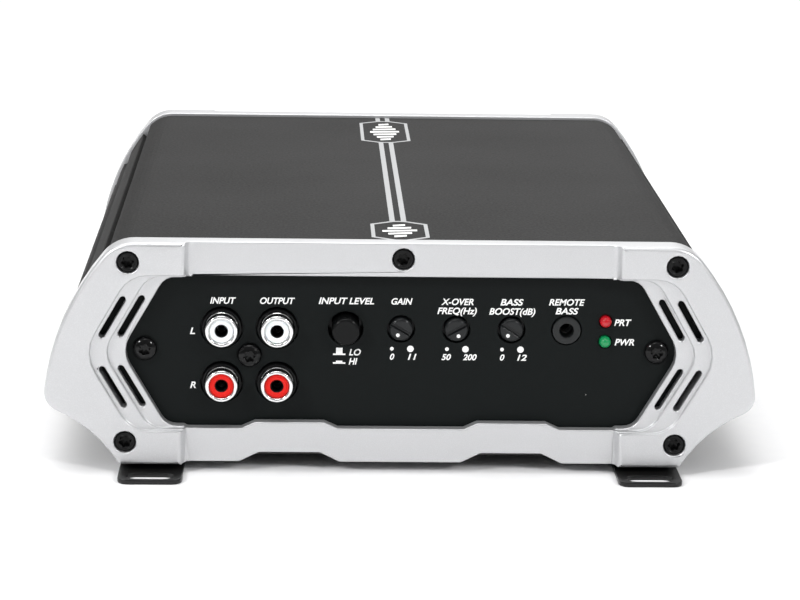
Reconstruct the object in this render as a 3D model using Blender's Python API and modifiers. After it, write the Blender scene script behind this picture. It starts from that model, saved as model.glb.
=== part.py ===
# Compact two-channel car amplifier: a finned aluminium body between two cast end caps, with a
# control panel at the front, a wiring panel at the back and four slotted mounting feet.
# Frame: +X right, +Y from the control panel towards the wiring panel, +Z up. The origin is
# under the middle of the body, on the surface that the feet stand on. All sizes are in metres.

import math

import bmesh
import bpy
from mathutils import Matrix, Vector

# Whole body
BODY_WIDTH = 0.180
BODY_LENGTH = 0.190
BODY_TOP = 0.0603
BODY_BOTTOM = 0.0026
PANEL_AXIS_LIFT = 0.0001
GAP = 0.0003

# Outline of an end cap: a big side arc between a shoulder and a nose, then a bow to the base
SHOULDER_RADIUS = 0.010
SHOULDER_ANGLE = 40.0
SIDE_RADIUS = 0.066
NOSE_RADIUS = 0.0050
NOSE_ANGLE = 6.6
NOSE_END_ANGLE = -60.0
BASE_INSET = 0.0186
BASE_BOW = 0.0017

# End caps, with depths measured inwards from the outer face
CAP_DEPTH = 0.0070
CAP_EDGE = 0.0006
MIDDLE_SETBACK = 0.0024
MIDDLE_INSET_TOP = 0.0359
MIDDLE_INSET_BASE = 0.0346
MIDDLE_FLANK = 0.0016
MIDDLE_LIFT = 0.0003
SCALLOP_NEAR = 0.0155
SCALLOP_FAR = 0.0410
SCALLOP_RAMP = 0.0050
SCALLOP_RISE = 0.0025
TERRACE_STEP = 0.0012
TERRACE_TILT = 60.0
OPENING_TOP_RAIL = 0.0087
OPENING_BASE_RAIL = 0.0092
WINDOW_INSET = 0.0357
WINDOW_STEP = 0.0006
SILL_NEAR = 0.0160
SILL_FAR = 0.0405
SILL_RAMP = 0.0035
SILL_RISE = 0.0016
VENT_WIDTH = 0.0016
VENT_LENGTH = 0.0123
VENT_RISE = 0.0091
VENT_SHIFT = 0.0004
SLOT_END = 0.49
TIP_ROUND = {"outer_terrace": 0.0100, "inner_terrace": 0.0070, "opening": 0.0075, "panel": 0.0050}
CORNER_ROUND = {"outer_terrace": 0.0080, "inner_terrace": 0.0060, "opening": 0.0045, "panel": 0.0060}

# Distance of each hexagon's tip from the side point, and how far it runs past the opening
OUTER_TERRACE = (0.0100, 0.0003)
INNER_TERRACE = (0.0148, -0.0001)
OPENING = (0.0193, -0.0005)
PANEL = (0.0114, 0.0010)

# Body extrusion
SKIN_INSET = 0.0009
PLATE_THICKNESS = 0.0035
WALL_INSET = 0.0215
WALL_THICKNESS = 0.0040
CAVITY_CHAMFER = 0.0052
GROOVE_WIDTH = 0.0034
GROOVE_DEPTH = 0.0040
FIN_COUNT = 3
FIN_THICKNESS = 0.0032
FIN_GAP = 0.0036
RAIL_HEIGHT = 0.0062
LEDGE_WIDTH = 0.0105
LEDGE_TOP = 0.0091
PORT_BOSS = 0.0070
PORT_BOSS_DRAFT = 0.0010
FOOT_THREAD_CAP = 0.0008
DUCT_WALL = 0.0030

# Sheet parts
COVER_THICKNESS = 0.0012
PANEL_THICKNESS = 0.0013
BOARD_THICKNESS = 0.0016

# Mounting feet
FOOT_WIDTH = 0.0163
FOOT_THICKNESS = 0.0012
FOOT_LIFT = 0.0019
FOOT_REACH = 0.0080
FOOT_OUTER_INSET = 0.0186
FOOT_TAB_LENGTH = 0.0175
FOOT_JOGGLE = 0.0020
BEND_SHIFT = 0.0003
FOOT_LENGTH = 0.0340
FOOT_CORNER = 0.0025
FOOT_PAD_CORNER = 0.0010
FOOT_SLOT_LENGTH = 0.0116
FOOT_SLOT_WIDTH = 0.0044
FOOT_SLOT_EDGE = 0.0014
FOOT_SCREW_DEPTH = 0.0185

# Screws
CAP_SCREW_HEAD = 0.0051
CAP_SCREW_HEIGHT = 0.0025
CAP_SCREW_SUNK = 0.0006
CAP_SCREW_TOP = (0.0213, 0.0050)
CAP_SCREW_BASE = (0.0202, 0.0060)
CAP_SCREW_MIDDLE_DROP = 0.0042
CAP_SCREW_LENGTH = 0.0160
CAP_SOCKET_RADIUS = 0.00133
CAP_SOCKET_DEPTH = 0.0015
SCREW_EDGE = 0.0004
THREAD_RADIUS = 0.0015
THREAD_TIP = 0.0005
THREAD_ROOM = 0.0010
PANEL_SCREW_HEAD = 0.0062
PANEL_SCREW_HEIGHT = 0.0019
PANEL_SCREW_INSET = 0.0251
PANEL_SCREW_LENGTH = 0.0110
PANEL_SCREW_DOME = (0, 35, 60, 78)
PANEL_SOCKET_RADIUS = 0.0012
PANEL_SOCKET_DEPTH = 0.0012
FOOT_SCREW_HEAD = 0.0070
FOOT_SCREW_HEIGHT = 0.0013
FOOT_SCREW_THREAD = 0.0020
FOOT_SOCKET_RADIUS = 0.0013
FOOT_SOCKET_DEPTH = 0.0009

# Line and speaker-level inputs: four phono jacks in one housing
JACK_X = -0.0385
JACK_PITCH_X = 0.0140
JACK_PITCH_Z = 0.0143
JACK_DROP = 0.0016
SHELL_DIAMETER = 0.00825
SHELL_WALL = 0.0005
SHELL_EDGE = 0.0002
SHELL_REACH = 0.0045
SHELL_LENGTH = 0.0140
CONTACT_BORE = 0.0033
INSULATOR_SUNK = 0.0005
CONTACT_DEPTH = 0.0080
COLLAR_WALL = 0.0006
COLLAR_REACH = 0.0010
COLLAR_HOLE_GAP = 0.00045
HOUSING_DEPTH = 0.0160
HOUSING_MARGIN = 0.0022
JOIN_DEPTH = 0.0020

# Controls, on one row above the body's middle line
ROW_RISE = 0.0055
CONTROL_PITCH = 0.0140
BUTTON_X = -0.0142
BUTTON_DIAMETER = 0.0071
BUTTON_HOLE_GAP = 0.00095
BUTTON_REACH = 0.0038
BUTTON_TRAVEL = 0.0025
BUTTON_ROUND = 0.0007
BUTTON_SKIRT = 0.0008
BUTTON_STEM = 0.0080
KNOB_DIAMETER = 0.0061
KNOB_HOLE_GAP = 0.00055
KNOB_REACH = 0.0010
KNOB_SLOT = 0.0008
KNOB_SKIRT = 0.0005
KNOB_EDGE = 0.0005
KNOB_REST = {"gain": 30.0, "xover": -29.0, "bass": 33.0}
STEM_RADIUS = 0.0015
CONTROL_DEPTH = 0.0055
CONTROL_BODY = 0.0098
CONTROL_LEG = 0.0060
BORE_FLOOR = 0.0010
REMOTE_BARREL = 0.0073
REMOTE_BORE = 0.0036
REMOTE_REACH = 0.0005
REMOTE_DEPTH = 0.0120
LED_OFFSET = 0.0099
LED_RISE = 0.0026
LED_PITCH = 0.0053
LED_DIAMETER = 0.0030
LED_REACH = 0.0018
LED_FLANGE = 0.0016
LED_LIP = 0.0004
LEAD_SIZE = 0.0008
LEAD_SPREAD = 0.0015

# Wiring side
TERMINAL_SHIFT = 0.00025
POWER_WAYS = 3
SPEAKER_WAYS = 4
TERMINAL_PITCH = 0.0104
TERMINAL_WALL = 0.0020
TERMINAL_BASE = 0.0085
TERMINAL_HEIGHT = 0.0180
TERMINAL_REACH = 0.0110
TERMINAL_DEPTH = 0.0120
WIRE_ENTRY = 0.0066
WIRE_DEPTH = 0.0130
WIRE_LEVEL = 0.42
CLAMP_HOLE = 0.0052
CLAMP_SETBACK = 0.0036
FUSE_WIDTH = 0.0190
FUSE_THICKNESS = 0.0052
FUSE_PITCH = 0.0105
FUSE_REACH = 0.0085
FUSE_BODY = 0.0120
FUSE_BLADE = 0.0052
BLADE_INSET = 0.0010
FUSE_BLADE_DEPTH = 0.0070
HOLDER_MARGIN = 0.0025
HOLDER_REACH = 0.0020
HOLDER_DEPTH = 0.0200

# On the board
BOARD_MARGIN = 0.0010
TOROID_OUTER = 0.0210
TOROID_INNER = 0.0095
TOROID_HEIGHT = 0.0170
TOROID_ROUND = 0.0030
TOROID_PLACE = (-0.0250, 0.0100)
CAPACITOR_DIAMETER = 0.0180
CAPACITOR_HEIGHT = 0.0280
CAPACITOR_EDGE = 0.0008
CAPACITOR_PITCH = 0.0210
CAPACITOR_PLACE = (0.0250, 0.0180)
TRANSISTOR_COUNT = 5
TRANSISTOR_PITCH = 0.0200
TRANSISTOR_WIDTH = 0.0105
TRANSISTOR_HEIGHT = 0.0120
TRANSISTOR_THICKNESS = 0.0045
CLAMP_THICKNESS = 0.0020

# For cleaning up meshes
MERGE_DISTANCE = 0.00001
FLAT_ANGLE = 0.001

# Worked out from the sizes above
SIDE = BODY_WIDTH / 2
FRONT, REAR = -1, 1
MIDDLE_HALF_TOP = SIDE - MIDDLE_INSET_TOP
MIDDLE_HALF_BASE = SIDE - MIDDLE_INSET_BASE
WINDOW_HALF = SIDE - WINDOW_INSET
OPENING_TOP = BODY_TOP - OPENING_TOP_RAIL
OPENING_BASE = BODY_BOTTOM + OPENING_BASE_RAIL
AXIS_Z = (OPENING_TOP + OPENING_BASE) / 2 + PANEL_AXIS_LIFT
ROW_Z = AXIS_Z + ROW_RISE
COLLAR_RADIUS = SHELL_DIAMETER / 2 + GAP + COLLAR_WALL
REMOTE_X = BUTTON_X + CONTROL_PITCH * 4
LED_X = REMOTE_X + LED_OFFSET
JACK_Z = AXIS_Z - JACK_DROP
PANEL_RECESS = CAP_DEPTH - PANEL_THICKNESS
BODY_END = CAP_DEPTH + GAP
PAD_BASE = FOOT_LIFT
COVER_BASE = PAD_BASE + FOOT_THICKNESS + GAP
SHELL_BASE = COVER_BASE + COVER_THICKNESS + GAP
LEDGE_Z = BODY_BOTTOM + LEDGE_TOP
BOARD_BASE = LEDGE_Z + GAP
BOARD_TOP = BOARD_BASE + BOARD_THICKNESS
PART_BASE = BOARD_TOP + GAP
WALL_X = SIDE - WALL_INSET
HOLDER_WIDTH = FUSE_WIDTH + 2 * HOLDER_MARGIN
HOLDER_HEIGHT = FUSE_PITCH + FUSE_THICKNESS + 2 * HOLDER_MARGIN
POWER_X = (HOLDER_WIDTH / 2 + WALL_X - PORT_BOSS) / 2 + TERMINAL_SHIFT
SPEAKER_X = -POWER_X
SIDE_CENTRE = Vector((
    SIDE - NOSE_RADIUS - (SIDE_RADIUS - NOSE_RADIUS) * math.cos(math.radians(NOSE_ANGLE)),
    BODY_TOP - SHOULDER_RADIUS
    - (SIDE_RADIUS - SHOULDER_RADIUS) * math.sin(math.radians(SHOULDER_ANGLE)),
))


# Outlines are lists of (u, v) points, in order round a closed loop.

def arc(centre, radius, start, end, steps):
    angles = [math.radians(start + (end - start) * step / steps) for step in range(steps + 1)]
    return [(centre[0] + radius * math.cos(a), centre[1] + radius * math.sin(a)) for a in angles]


def circle(centre, radius, steps=16):
    return arc(centre, radius, 0, 360, steps)[:-1]


def rectangle(left, right, base, top):
    return [(left, base), (right, base), (right, top), (left, top)]


def mirrored(loop):
    return [(-u, v) for u, v in reversed(loop)]


def bow(start, end, height, steps):
    start, end = Vector(start), Vector(end)
    along = end - start
    across = Vector((along.y, -along.x)).normalized()
    shares = [step / steps for step in range(1, steps)]
    return [tuple(start + along * t + across * height * 4 * t * (1 - t)) for t in shares]


def rounded(loop, radii, steps=4):
    points = []
    for index, corner in enumerate(loop):
        radius = radii[index]
        if radius == 0:
            points.append(corner)
            continue
        here = Vector(corner)
        back = (Vector(loop[index - 1]) - here).normalized()
        ahead = (Vector(loop[(index + 1) % len(loop)]) - here).normalized()
        half = back.angle(ahead) / 2
        centre = here + (back + ahead).normalized() * radius / math.sin(half)
        first = here + back * radius / math.tan(half) - centre
        last = here + ahead * radius / math.tan(half) - centre
        turn = first.angle_signed(last)
        for step in range(steps + 1):
            spoke = first.copy()
            spoke.rotate(Matrix.Rotation(-turn * step / steps, 2))
            points.append(tuple(centre + spoke))
    return points


def hexagon(name, place, grow=0.0):
    inset, overrun = place
    corner = CORNER_ROUND[name]
    half = SIDE - inset + grow
    top = OPENING_TOP + overrun + grow
    base = OPENING_BASE - overrun - grow
    slope = math.tan(math.radians(TERRACE_TILT))
    top_x = half - (top - AXIS_Z) / slope
    base_x = half - (AXIS_Z - base) / slope
    right = [(base_x, base), (half, AXIS_Z), (top_x, top)]
    return rounded(right + mirrored(right), [corner, TIP_ROUND[name], corner] * 2)


def opening_loop():
    inset, overrun = OPENING
    half = SIDE - inset
    slope = math.tan(math.radians(TERRACE_TILT))
    top = OPENING_TOP + overrun
    base = OPENING_BASE - overrun
    sill = OPENING_BASE + SILL_RISE
    right = [
        (SILL_NEAR, OPENING_BASE),
        (SILL_NEAR + SILL_RAMP, sill),
        (SILL_FAR - SILL_RAMP, sill),
        (SILL_FAR, OPENING_BASE),
        (WINDOW_HALF, OPENING_BASE),
        (WINDOW_HALF + WINDOW_STEP, base),
        (half - (AXIS_Z - base) / slope, base),
        (half, AXIS_Z),
        (half - (top - AXIS_Z) / slope, top),
        (WINDOW_HALF + WINDOW_STEP, top),
        (WINDOW_HALF, OPENING_TOP),
    ]
    corner = CORNER_ROUND["opening"]
    radii = [0] * 6 + [corner, TIP_ROUND["opening"], corner] + [0, 0]
    return rounded(right + mirrored(right), radii + radii[::-1])


def side_point(inset, angle):
    reach = SIDE_RADIUS - inset
    angle = math.radians(angle)
    return SIDE_CENTRE + Vector((math.cos(angle), math.sin(angle))) * reach


def nose(inset, steps):
    angle = math.radians(NOSE_ANGLE)
    reach = SIDE_RADIUS - NOSE_RADIUS
    centre = SIDE_CENTRE + Vector((math.cos(angle), math.sin(angle))) * reach
    return arc(centre, NOSE_RADIUS - inset, NOSE_ANGLE, NOSE_END_ANGLE, steps)


def shoulder(inset, steps, end=SHOULDER_ANGLE):
    angle = math.radians(SHOULDER_ANGLE)
    reach = SIDE_RADIUS - SHOULDER_RADIUS
    centre = SIDE_CENTRE + Vector((math.cos(angle), math.sin(angle))) * reach
    return arc(centre, SHOULDER_RADIUS - inset, 90, end, steps)


def cap_loop():
    base_corner = (SIDE - BASE_INSET, BODY_BOTTOM)
    nose_arc = nose(0, 6)
    low = BODY_BOTTOM + MIDDLE_LIFT
    right = shoulder(0, 6)
    right += arc(SIDE_CENTRE, SIDE_RADIUS, SHOULDER_ANGLE, NOSE_ANGLE, 8)[1:]
    right += nose_arc[1:]
    right += bow(nose_arc[-1], base_corner, BASE_BOW, 6)
    right += [
        base_corner,
        (MIDDLE_HALF_BASE, BODY_BOTTOM),
        (MIDDLE_HALF_BASE - MIDDLE_FLANK, low),
        (SCALLOP_FAR, low),
        (SCALLOP_FAR - SCALLOP_RAMP, low + SCALLOP_RISE),
        (SCALLOP_NEAR + SCALLOP_RAMP, low + SCALLOP_RISE),
        (SCALLOP_NEAR, low),
    ]
    return right + mirrored(right)


def vent_loops():
    slope = math.tan(math.radians(TERRACE_TILT))
    bands = [(OUTER_TERRACE, INNER_TERRACE), (INNER_TERRACE, OPENING)]
    loops = []
    for outer, inner in bands:
        middle = SIDE - (outer[0] + inner[0]) / 2 + VENT_SHIFT - VENT_RISE / slope
        for side in (-1, 1):
            for level in (-1, 1):
                centre = Vector((side * middle, AXIS_Z + level * VENT_RISE))
                tilt = math.radians(90 + side * level * (90 - TERRACE_TILT))
                along = Vector((math.cos(tilt), math.sin(tilt)))
                across = Vector((-along.y, along.x)) * VENT_WIDTH / 2
                reach = along * VENT_LENGTH / 2
                box = [centre - reach - across, centre + reach - across]
                box += [centre + reach + across, centre - reach + across]
                loops.append(rounded(box, [VENT_WIDTH * SLOT_END] * 4, steps=2))
    return loops


# Places that several pieces share

def cap_screw_places():
    top = [(side * (SIDE - CAP_SCREW_TOP[0]), BODY_TOP - CAP_SCREW_TOP[1]) for side in (-1, 1)]
    base = [(side * (SIDE - CAP_SCREW_BASE[0]), BODY_BOTTOM + CAP_SCREW_BASE[1]) for side in (-1, 1)]
    return top + base + [(0.0, BODY_TOP - CAP_SCREW_MIDDLE_DROP)]


def panel_screw_places():
    return [(side * (SIDE - PANEL_SCREW_INSET), AXIS_Z) for side in (-1, 1)]


def foot_screw_places():
    x = SIDE - FOOT_OUTER_INSET - FOOT_WIDTH / 2
    y = BODY_LENGTH / 2 - FOOT_SCREW_DEPTH
    return [(side * x, end * y) for end in (FRONT, REAR) for side in (-1, 1)]


def jack_places():
    half_x = JACK_PITCH_X / 2
    half_z = JACK_PITCH_Z / 2
    columns = (("in", JACK_X - half_x), ("out", JACK_X + half_x))
    rows = (("left", JACK_Z + half_z), ("right", JACK_Z - half_z))
    return [(f"{column}_{row}", x, z) for row, z in rows for column, x in columns]


def knob_places():
    return [(name, BUTTON_X + CONTROL_PITCH * (index + 1)) for index, name in enumerate(KNOB_REST)]


def led_places():
    top = AXIS_Z + LED_RISE + LED_PITCH
    return [("protect_led", top), ("power_led", top - LED_PITCH)]


def terminal_half(ways):
    return ways * TERMINAL_PITCH / 2 + TERMINAL_WALL


def terminal_span():
    base = PART_BASE + TERMINAL_BASE
    return base, base + TERMINAL_HEIGHT


def depths(end, near, far):
    return sorted((end * (BODY_LENGTH / 2 - near), end * (BODY_LENGTH / 2 - far)))


# Modelling tools

def new_collection(name):
    collection = bpy.data.collections.new(name)
    bpy.context.scene.collection.children.link(collection)
    return collection


def material(name, colour, roughness, metallic=0.0):
    made = bpy.data.materials.new(name)
    made.use_nodes = True
    shader = made.node_tree.nodes["Principled BSDF"]
    shader.inputs["Base Color"].default_value = (*colour, 1.0)
    shader.inputs["Roughness"].default_value = roughness
    shader.inputs["Metallic"].default_value = metallic
    made.diffuse_color = (*colour, 1.0)
    return made


def evaluated_mesh(thing):
    bpy.context.view_layer.update()
    graph = bpy.context.evaluated_depsgraph_get()
    return bpy.data.meshes.new_from_object(thing.evaluated_get(graph))


def drop(thing):
    data = thing.data
    bpy.data.objects.remove(thing)
    if data and not data.users:
        bpy.data.batch_remove([data])


def face_outwards(mesh):
    body = bmesh.new()
    body.from_mesh(mesh)
    bmesh.ops.recalc_face_normals(body, faces=body.faces)
    body.to_mesh(mesh)
    body.free()


def prism_mesh(name, loops, axis, low, high):
    curve = bpy.data.curves.new(name, "CURVE")
    curve.dimensions = "2D"
    curve.fill_mode = "BOTH"
    curve.extrude = (high - low) / 2
    for loop in loops:
        spline = curve.splines.new("POLY")
        spline.points.add(len(loop) - 1)
        for point, (u, v) in zip(spline.points, loop):
            point.co = (u, v, 0, 1)
        spline.use_cyclic_u = True
    holder = bpy.data.objects.new(name, curve)
    bpy.context.scene.collection.objects.link(holder)
    mesh = evaluated_mesh(holder)
    drop(holder)
    turns = {
        "X": Matrix(((0, 0, 1), (1, 0, 0), (0, 1, 0))),
        "Y": Matrix(((1, 0, 0), (0, 0, -1), (0, 1, 0))),
        "Z": Matrix.Identity(3),
    }
    shift = Vector([(low + high) / 2 if letter == axis else 0 for letter in "XYZ"])
    body = bmesh.new()
    body.from_mesh(mesh)
    bmesh.ops.remove_doubles(body, verts=body.verts, dist=MERGE_DISTANCE)
    bmesh.ops.transform(body, matrix=turns[axis].to_4x4(), verts=body.verts)
    bmesh.ops.translate(body, vec=shift, verts=body.verts)
    bmesh.ops.recalc_face_normals(body, faces=body.faces)
    if len(loops) == 1:
        bmesh.ops.dissolve_limit(body, angle_limit=FLAT_ANGLE, verts=body.verts, edges=body.edges)
    body.to_mesh(mesh)
    body.free()
    return mesh


def turned_mesh(name, profile, steps=16, ring=False):
    outline = bpy.data.meshes.new(name)
    edges = [(index, index + 1) for index in range(len(profile) - 1)]
    if ring:
        edges.append((len(profile) - 1, 0))
    outline.from_pydata([(radius, 0, height) for radius, height in profile], edges, [])
    holder = bpy.data.objects.new(name, outline)
    bpy.context.scene.collection.objects.link(holder)
    spin = holder.modifiers.new("turn", "SCREW")
    spin.axis = "Z"
    spin.steps = steps
    spin.render_steps = steps
    spin.use_merge_vertices = True
    spin.merge_threshold = MERGE_DISTANCE
    mesh = evaluated_mesh(holder)
    drop(holder)
    face_outwards(mesh)
    return mesh


def box_mesh(name, x_span, y_span, z_span):
    mesh = bpy.data.meshes.new(name)
    body = bmesh.new()
    bmesh.ops.create_cube(body, size=1)
    for vertex in body.verts:
        for axis, (low, high) in enumerate((x_span, y_span, z_span)):
            vertex.co[axis] = high if vertex.co[axis] > 0 else low
    body.to_mesh(mesh)
    body.free()
    return mesh


class Bench:
    def __init__(self):
        self.parts = new_collection("car_amplifier")
        self.cutters = new_collection("car_amplifier_cutters")
        self.root = bpy.data.objects.new("amplifier_frame", None)
        self.parts.objects.link(self.root)

    def part(self, name, mesh, finish, place=(0, 0, 0), turn=(0, 0, 0)):
        if mesh.materials:
            mesh.materials[0] = finish
        else:
            mesh.materials.append(finish)
        mesh.shade_smooth()
        mesh.set_sharp_from_angle(angle=math.radians(30))
        made = bpy.data.objects.new(name, mesh)
        made.location = place
        made.rotation_euler = [math.radians(angle) for angle in turn]
        made.parent = self.root
        self.parts.objects.link(made)
        return made

    def cutter(self, name, mesh, place=(0, 0, 0), turn=(0, 0, 0)):
        made = bpy.data.objects.new(name, mesh)
        made.location = place
        made.rotation_euler = [math.radians(angle) for angle in turn]
        made.hide_render = True
        made.display_type = "WIRE"
        self.cutters.objects.link(made)
        return made

    def boolean(self, target, cutter, operation="DIFFERENCE"):
        change = target.modifiers.new(cutter.name, "BOOLEAN")
        change.operation = operation
        change.solver = "EXACT"
        change.object = cutter

    def fixed_mesh(self, target):
        mesh = evaluated_mesh(target)
        for change in list(target.modifiers):
            target.modifiers.remove(change)
        return mesh


# Pieces

def end_cap(bench, name, end, finish):
    low, high = depths(end, 0, CAP_DEPTH)
    mesh = prism_mesh(name, [cap_loop()], "Y", low, high)
    face_y = end * BODY_LENGTH / 2
    weights = mesh.attributes.new("bevel_weight_edge", "FLOAT", "EDGE")
    for edge in mesh.edges:
        on_face = all(abs(mesh.vertices[v].co.y - face_y) < GAP / 2 for v in edge.vertices)
        weights.data[edge.index].value = 1.0 if on_face else 0.0
    cap = bench.part(name, mesh, finish)
    edge = cap.modifiers.new("outer edge", "BEVEL")
    edge.limit_method = "WEIGHT"
    edge.width = CAP_EDGE
    edge.segments = 1

    middle = box_mesh(f"{name}_middle", (-1, 1), (-1, 1), (-1, 1))
    outer_y = face_y + end * GAP
    floor_y = end * (BODY_LENGTH / 2 - MIDDLE_SETBACK)
    for vertex in middle.vertices:
        side, level = vertex.co.x, vertex.co.z
        outer = (vertex.co.y > 0) == (end > 0)
        half = MIDDLE_HALF_TOP if level > 0 else MIDDLE_HALF_BASE
        vertex.co.x = side * (half + (MIDDLE_FLANK / 2 if outer else -MIDDLE_FLANK / 2))
        vertex.co.y = outer_y if outer else floor_y
        vertex.co.z = BODY_TOP + GAP if level > 0 else BODY_BOTTOM - GAP

    steps = [
        (f"{name}_outer_terrace", hexagon("outer_terrace", OUTER_TERRACE), -GAP, TERRACE_STEP),
        (f"{name}_inner_terrace", hexagon("inner_terrace", INNER_TERRACE), -GAP, 2 * TERRACE_STEP),
        (f"{name}_opening", opening_loop(), -GAP, CAP_DEPTH + GAP),
        (f"{name}_rebate", hexagon("panel", PANEL, GAP), PANEL_RECESS - GAP, CAP_DEPTH + GAP),
    ]
    bench.boolean(cap, bench.cutter(middle.name, middle))
    for cut_name, loop, near, far in steps:
        cut_mesh = prism_mesh(cut_name, [loop], "Y", *depths(end, near, far))
        bench.boolean(cap, bench.cutter(cut_name, cut_mesh))
    holes = vent_loops() + [circle(place, THREAD_RADIUS + GAP, 12) for place in cap_screw_places()]
    hole_mesh = prism_mesh(f"{name}_holes", holes, "Y", *depths(end, -GAP, CAP_DEPTH + GAP))
    bench.boolean(cap, bench.cutter(f"{name}_holes", hole_mesh))
    sinks = [circle(place, CAP_SCREW_HEAD / 2 + GAP, 16) for place in cap_screw_places()]
    sink_depth = CAP_SCREW_SUNK + CAP_SCREW_HEIGHT + GAP
    corner_mesh = prism_mesh(f"{name}_sinks", sinks[:4], "Y", *depths(end, -GAP, sink_depth))
    bench.boolean(cap, bench.cutter(f"{name}_sinks", corner_mesh))
    middle_span = depths(end, -GAP, MIDDLE_SETBACK + sink_depth)
    middle_mesh = prism_mesh(f"{name}_middle_sink", sinks[4:], "Y", *middle_span)
    bench.boolean(cap, bench.cutter(f"{name}_middle_sink", middle_mesh))


def heatsink(bench, finish):
    top = BODY_TOP - SKIN_INSET
    under = top - PLATE_THICKNESS
    half_groove = math.degrees(GROOVE_WIDTH / SIDE_RADIUS) / 2
    groove_angle = SHOULDER_ANGLE - half_groove
    lip = side_point(SKIN_INSET, SHOULDER_ANGLE)
    rail = side_point(SKIN_INSET, SHOULDER_ANGLE - 2 * half_groove)
    inward = Vector((math.cos(math.radians(groove_angle)), math.sin(math.radians(groove_angle))))
    inward *= -GROOVE_DEPTH
    gap_x = WALL_X + WALL_THICKNESS

    def skin_x(z):
        rise = z - SIDE_CENTRE.y
        return SIDE_CENTRE.x + math.sqrt((SIDE_RADIUS - SKIN_INSET) ** 2 - rise ** 2)

    right = shoulder(SKIN_INSET, 6)
    right += [tuple(lip + inward), tuple(rail + inward), tuple(rail)]
    z = rail.y - RAIL_HEIGHT
    right.append((skin_x((rail.y + z) / 2), (rail.y + z) / 2))
    for _ in range(FIN_COUNT):
        right += [(skin_x(z), z), (gap_x, z), (gap_x, z - FIN_GAP), (skin_x(z - FIN_GAP), z - FIN_GAP)]
        z -= FIN_GAP + FIN_THICKNESS
    right += [(skin_x(z), z), (gap_x, z), (gap_x, z - FIN_GAP), (skin_x(z - FIN_GAP), z - FIN_GAP)]
    nose_arc = nose(SKIN_INSET, 5)
    base_corner = (SIDE - BASE_INSET + SKIN_INSET, SHELL_BASE)
    right += nose_arc[1:]
    right += bow(nose_arc[-1], base_corner, BASE_BOW, 5)
    ledge_x = WALL_X - LEDGE_WIDTH
    boss_x = WALL_X - PORT_BOSS
    right += [
        base_corner,
        (ledge_x, SHELL_BASE),
        (ledge_x, LEDGE_Z),
        (WALL_X, LEDGE_Z),
        (WALL_X, AXIS_Z - PORT_BOSS / 2),
        (boss_x, AXIS_Z - PORT_BOSS / 2),
        (boss_x, AXIS_Z + PORT_BOSS / 2),
        (WALL_X, AXIS_Z + PORT_BOSS / 2),
        (WALL_X, under - CAVITY_CHAMFER),
        (WALL_X - CAVITY_CHAMFER, under),
        (PORT_BOSS / 2, under),
        (PORT_BOSS / 2 - PORT_BOSS_DRAFT, under - PORT_BOSS / 2),
    ]
    duct_top = z - FIN_GAP - DUCT_WALL
    duct_side = SIDE - NOSE_RADIUS - DUCT_WALL
    duct_base = SHELL_BASE + LEDGE_TOP
    duct = [(gap_x, duct_base), (gap_x + DUCT_WALL, duct_base), (duct_side, duct_top), (gap_x, duct_top)]
    ports = cap_screw_places() + panel_screw_places()
    loops = [right + mirrored(right), duct, mirrored(duct)]
    loops += [circle(place, THREAD_RADIUS + GAP, 12) for place in ports]
    end = BODY_LENGTH / 2 - BODY_END
    body = bench.part("heatsink", prism_mesh("heatsink", loops, "Y", -end, end), finish)
    depth = LEDGE_Z - FOOT_THREAD_CAP
    for index, (x, y) in enumerate(foot_screw_places()):
        loop = circle((x, y), FOOT_SCREW_THREAD + GAP, 12)
        name = f"foot_thread_{index + 1}"
        mesh = prism_mesh(name, [loop], "Z", SHELL_BASE - GAP, depth)
        bench.boolean(body, bench.cutter(name, mesh))


def bottom_cover(bench, finish):
    half = SIDE - BASE_INSET - SKIN_INSET
    end = BODY_LENGTH / 2 - BODY_END
    loops = [rectangle(-half, half, -end, end)]
    loops += [circle(place, FOOT_SCREW_THREAD + GAP, 12) for place in foot_screw_places()]
    mesh = prism_mesh("bottom_cover", loops, "Z", COVER_BASE, COVER_BASE + COVER_THICKNESS)
    bench.part("bottom_cover", mesh, finish)


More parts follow.
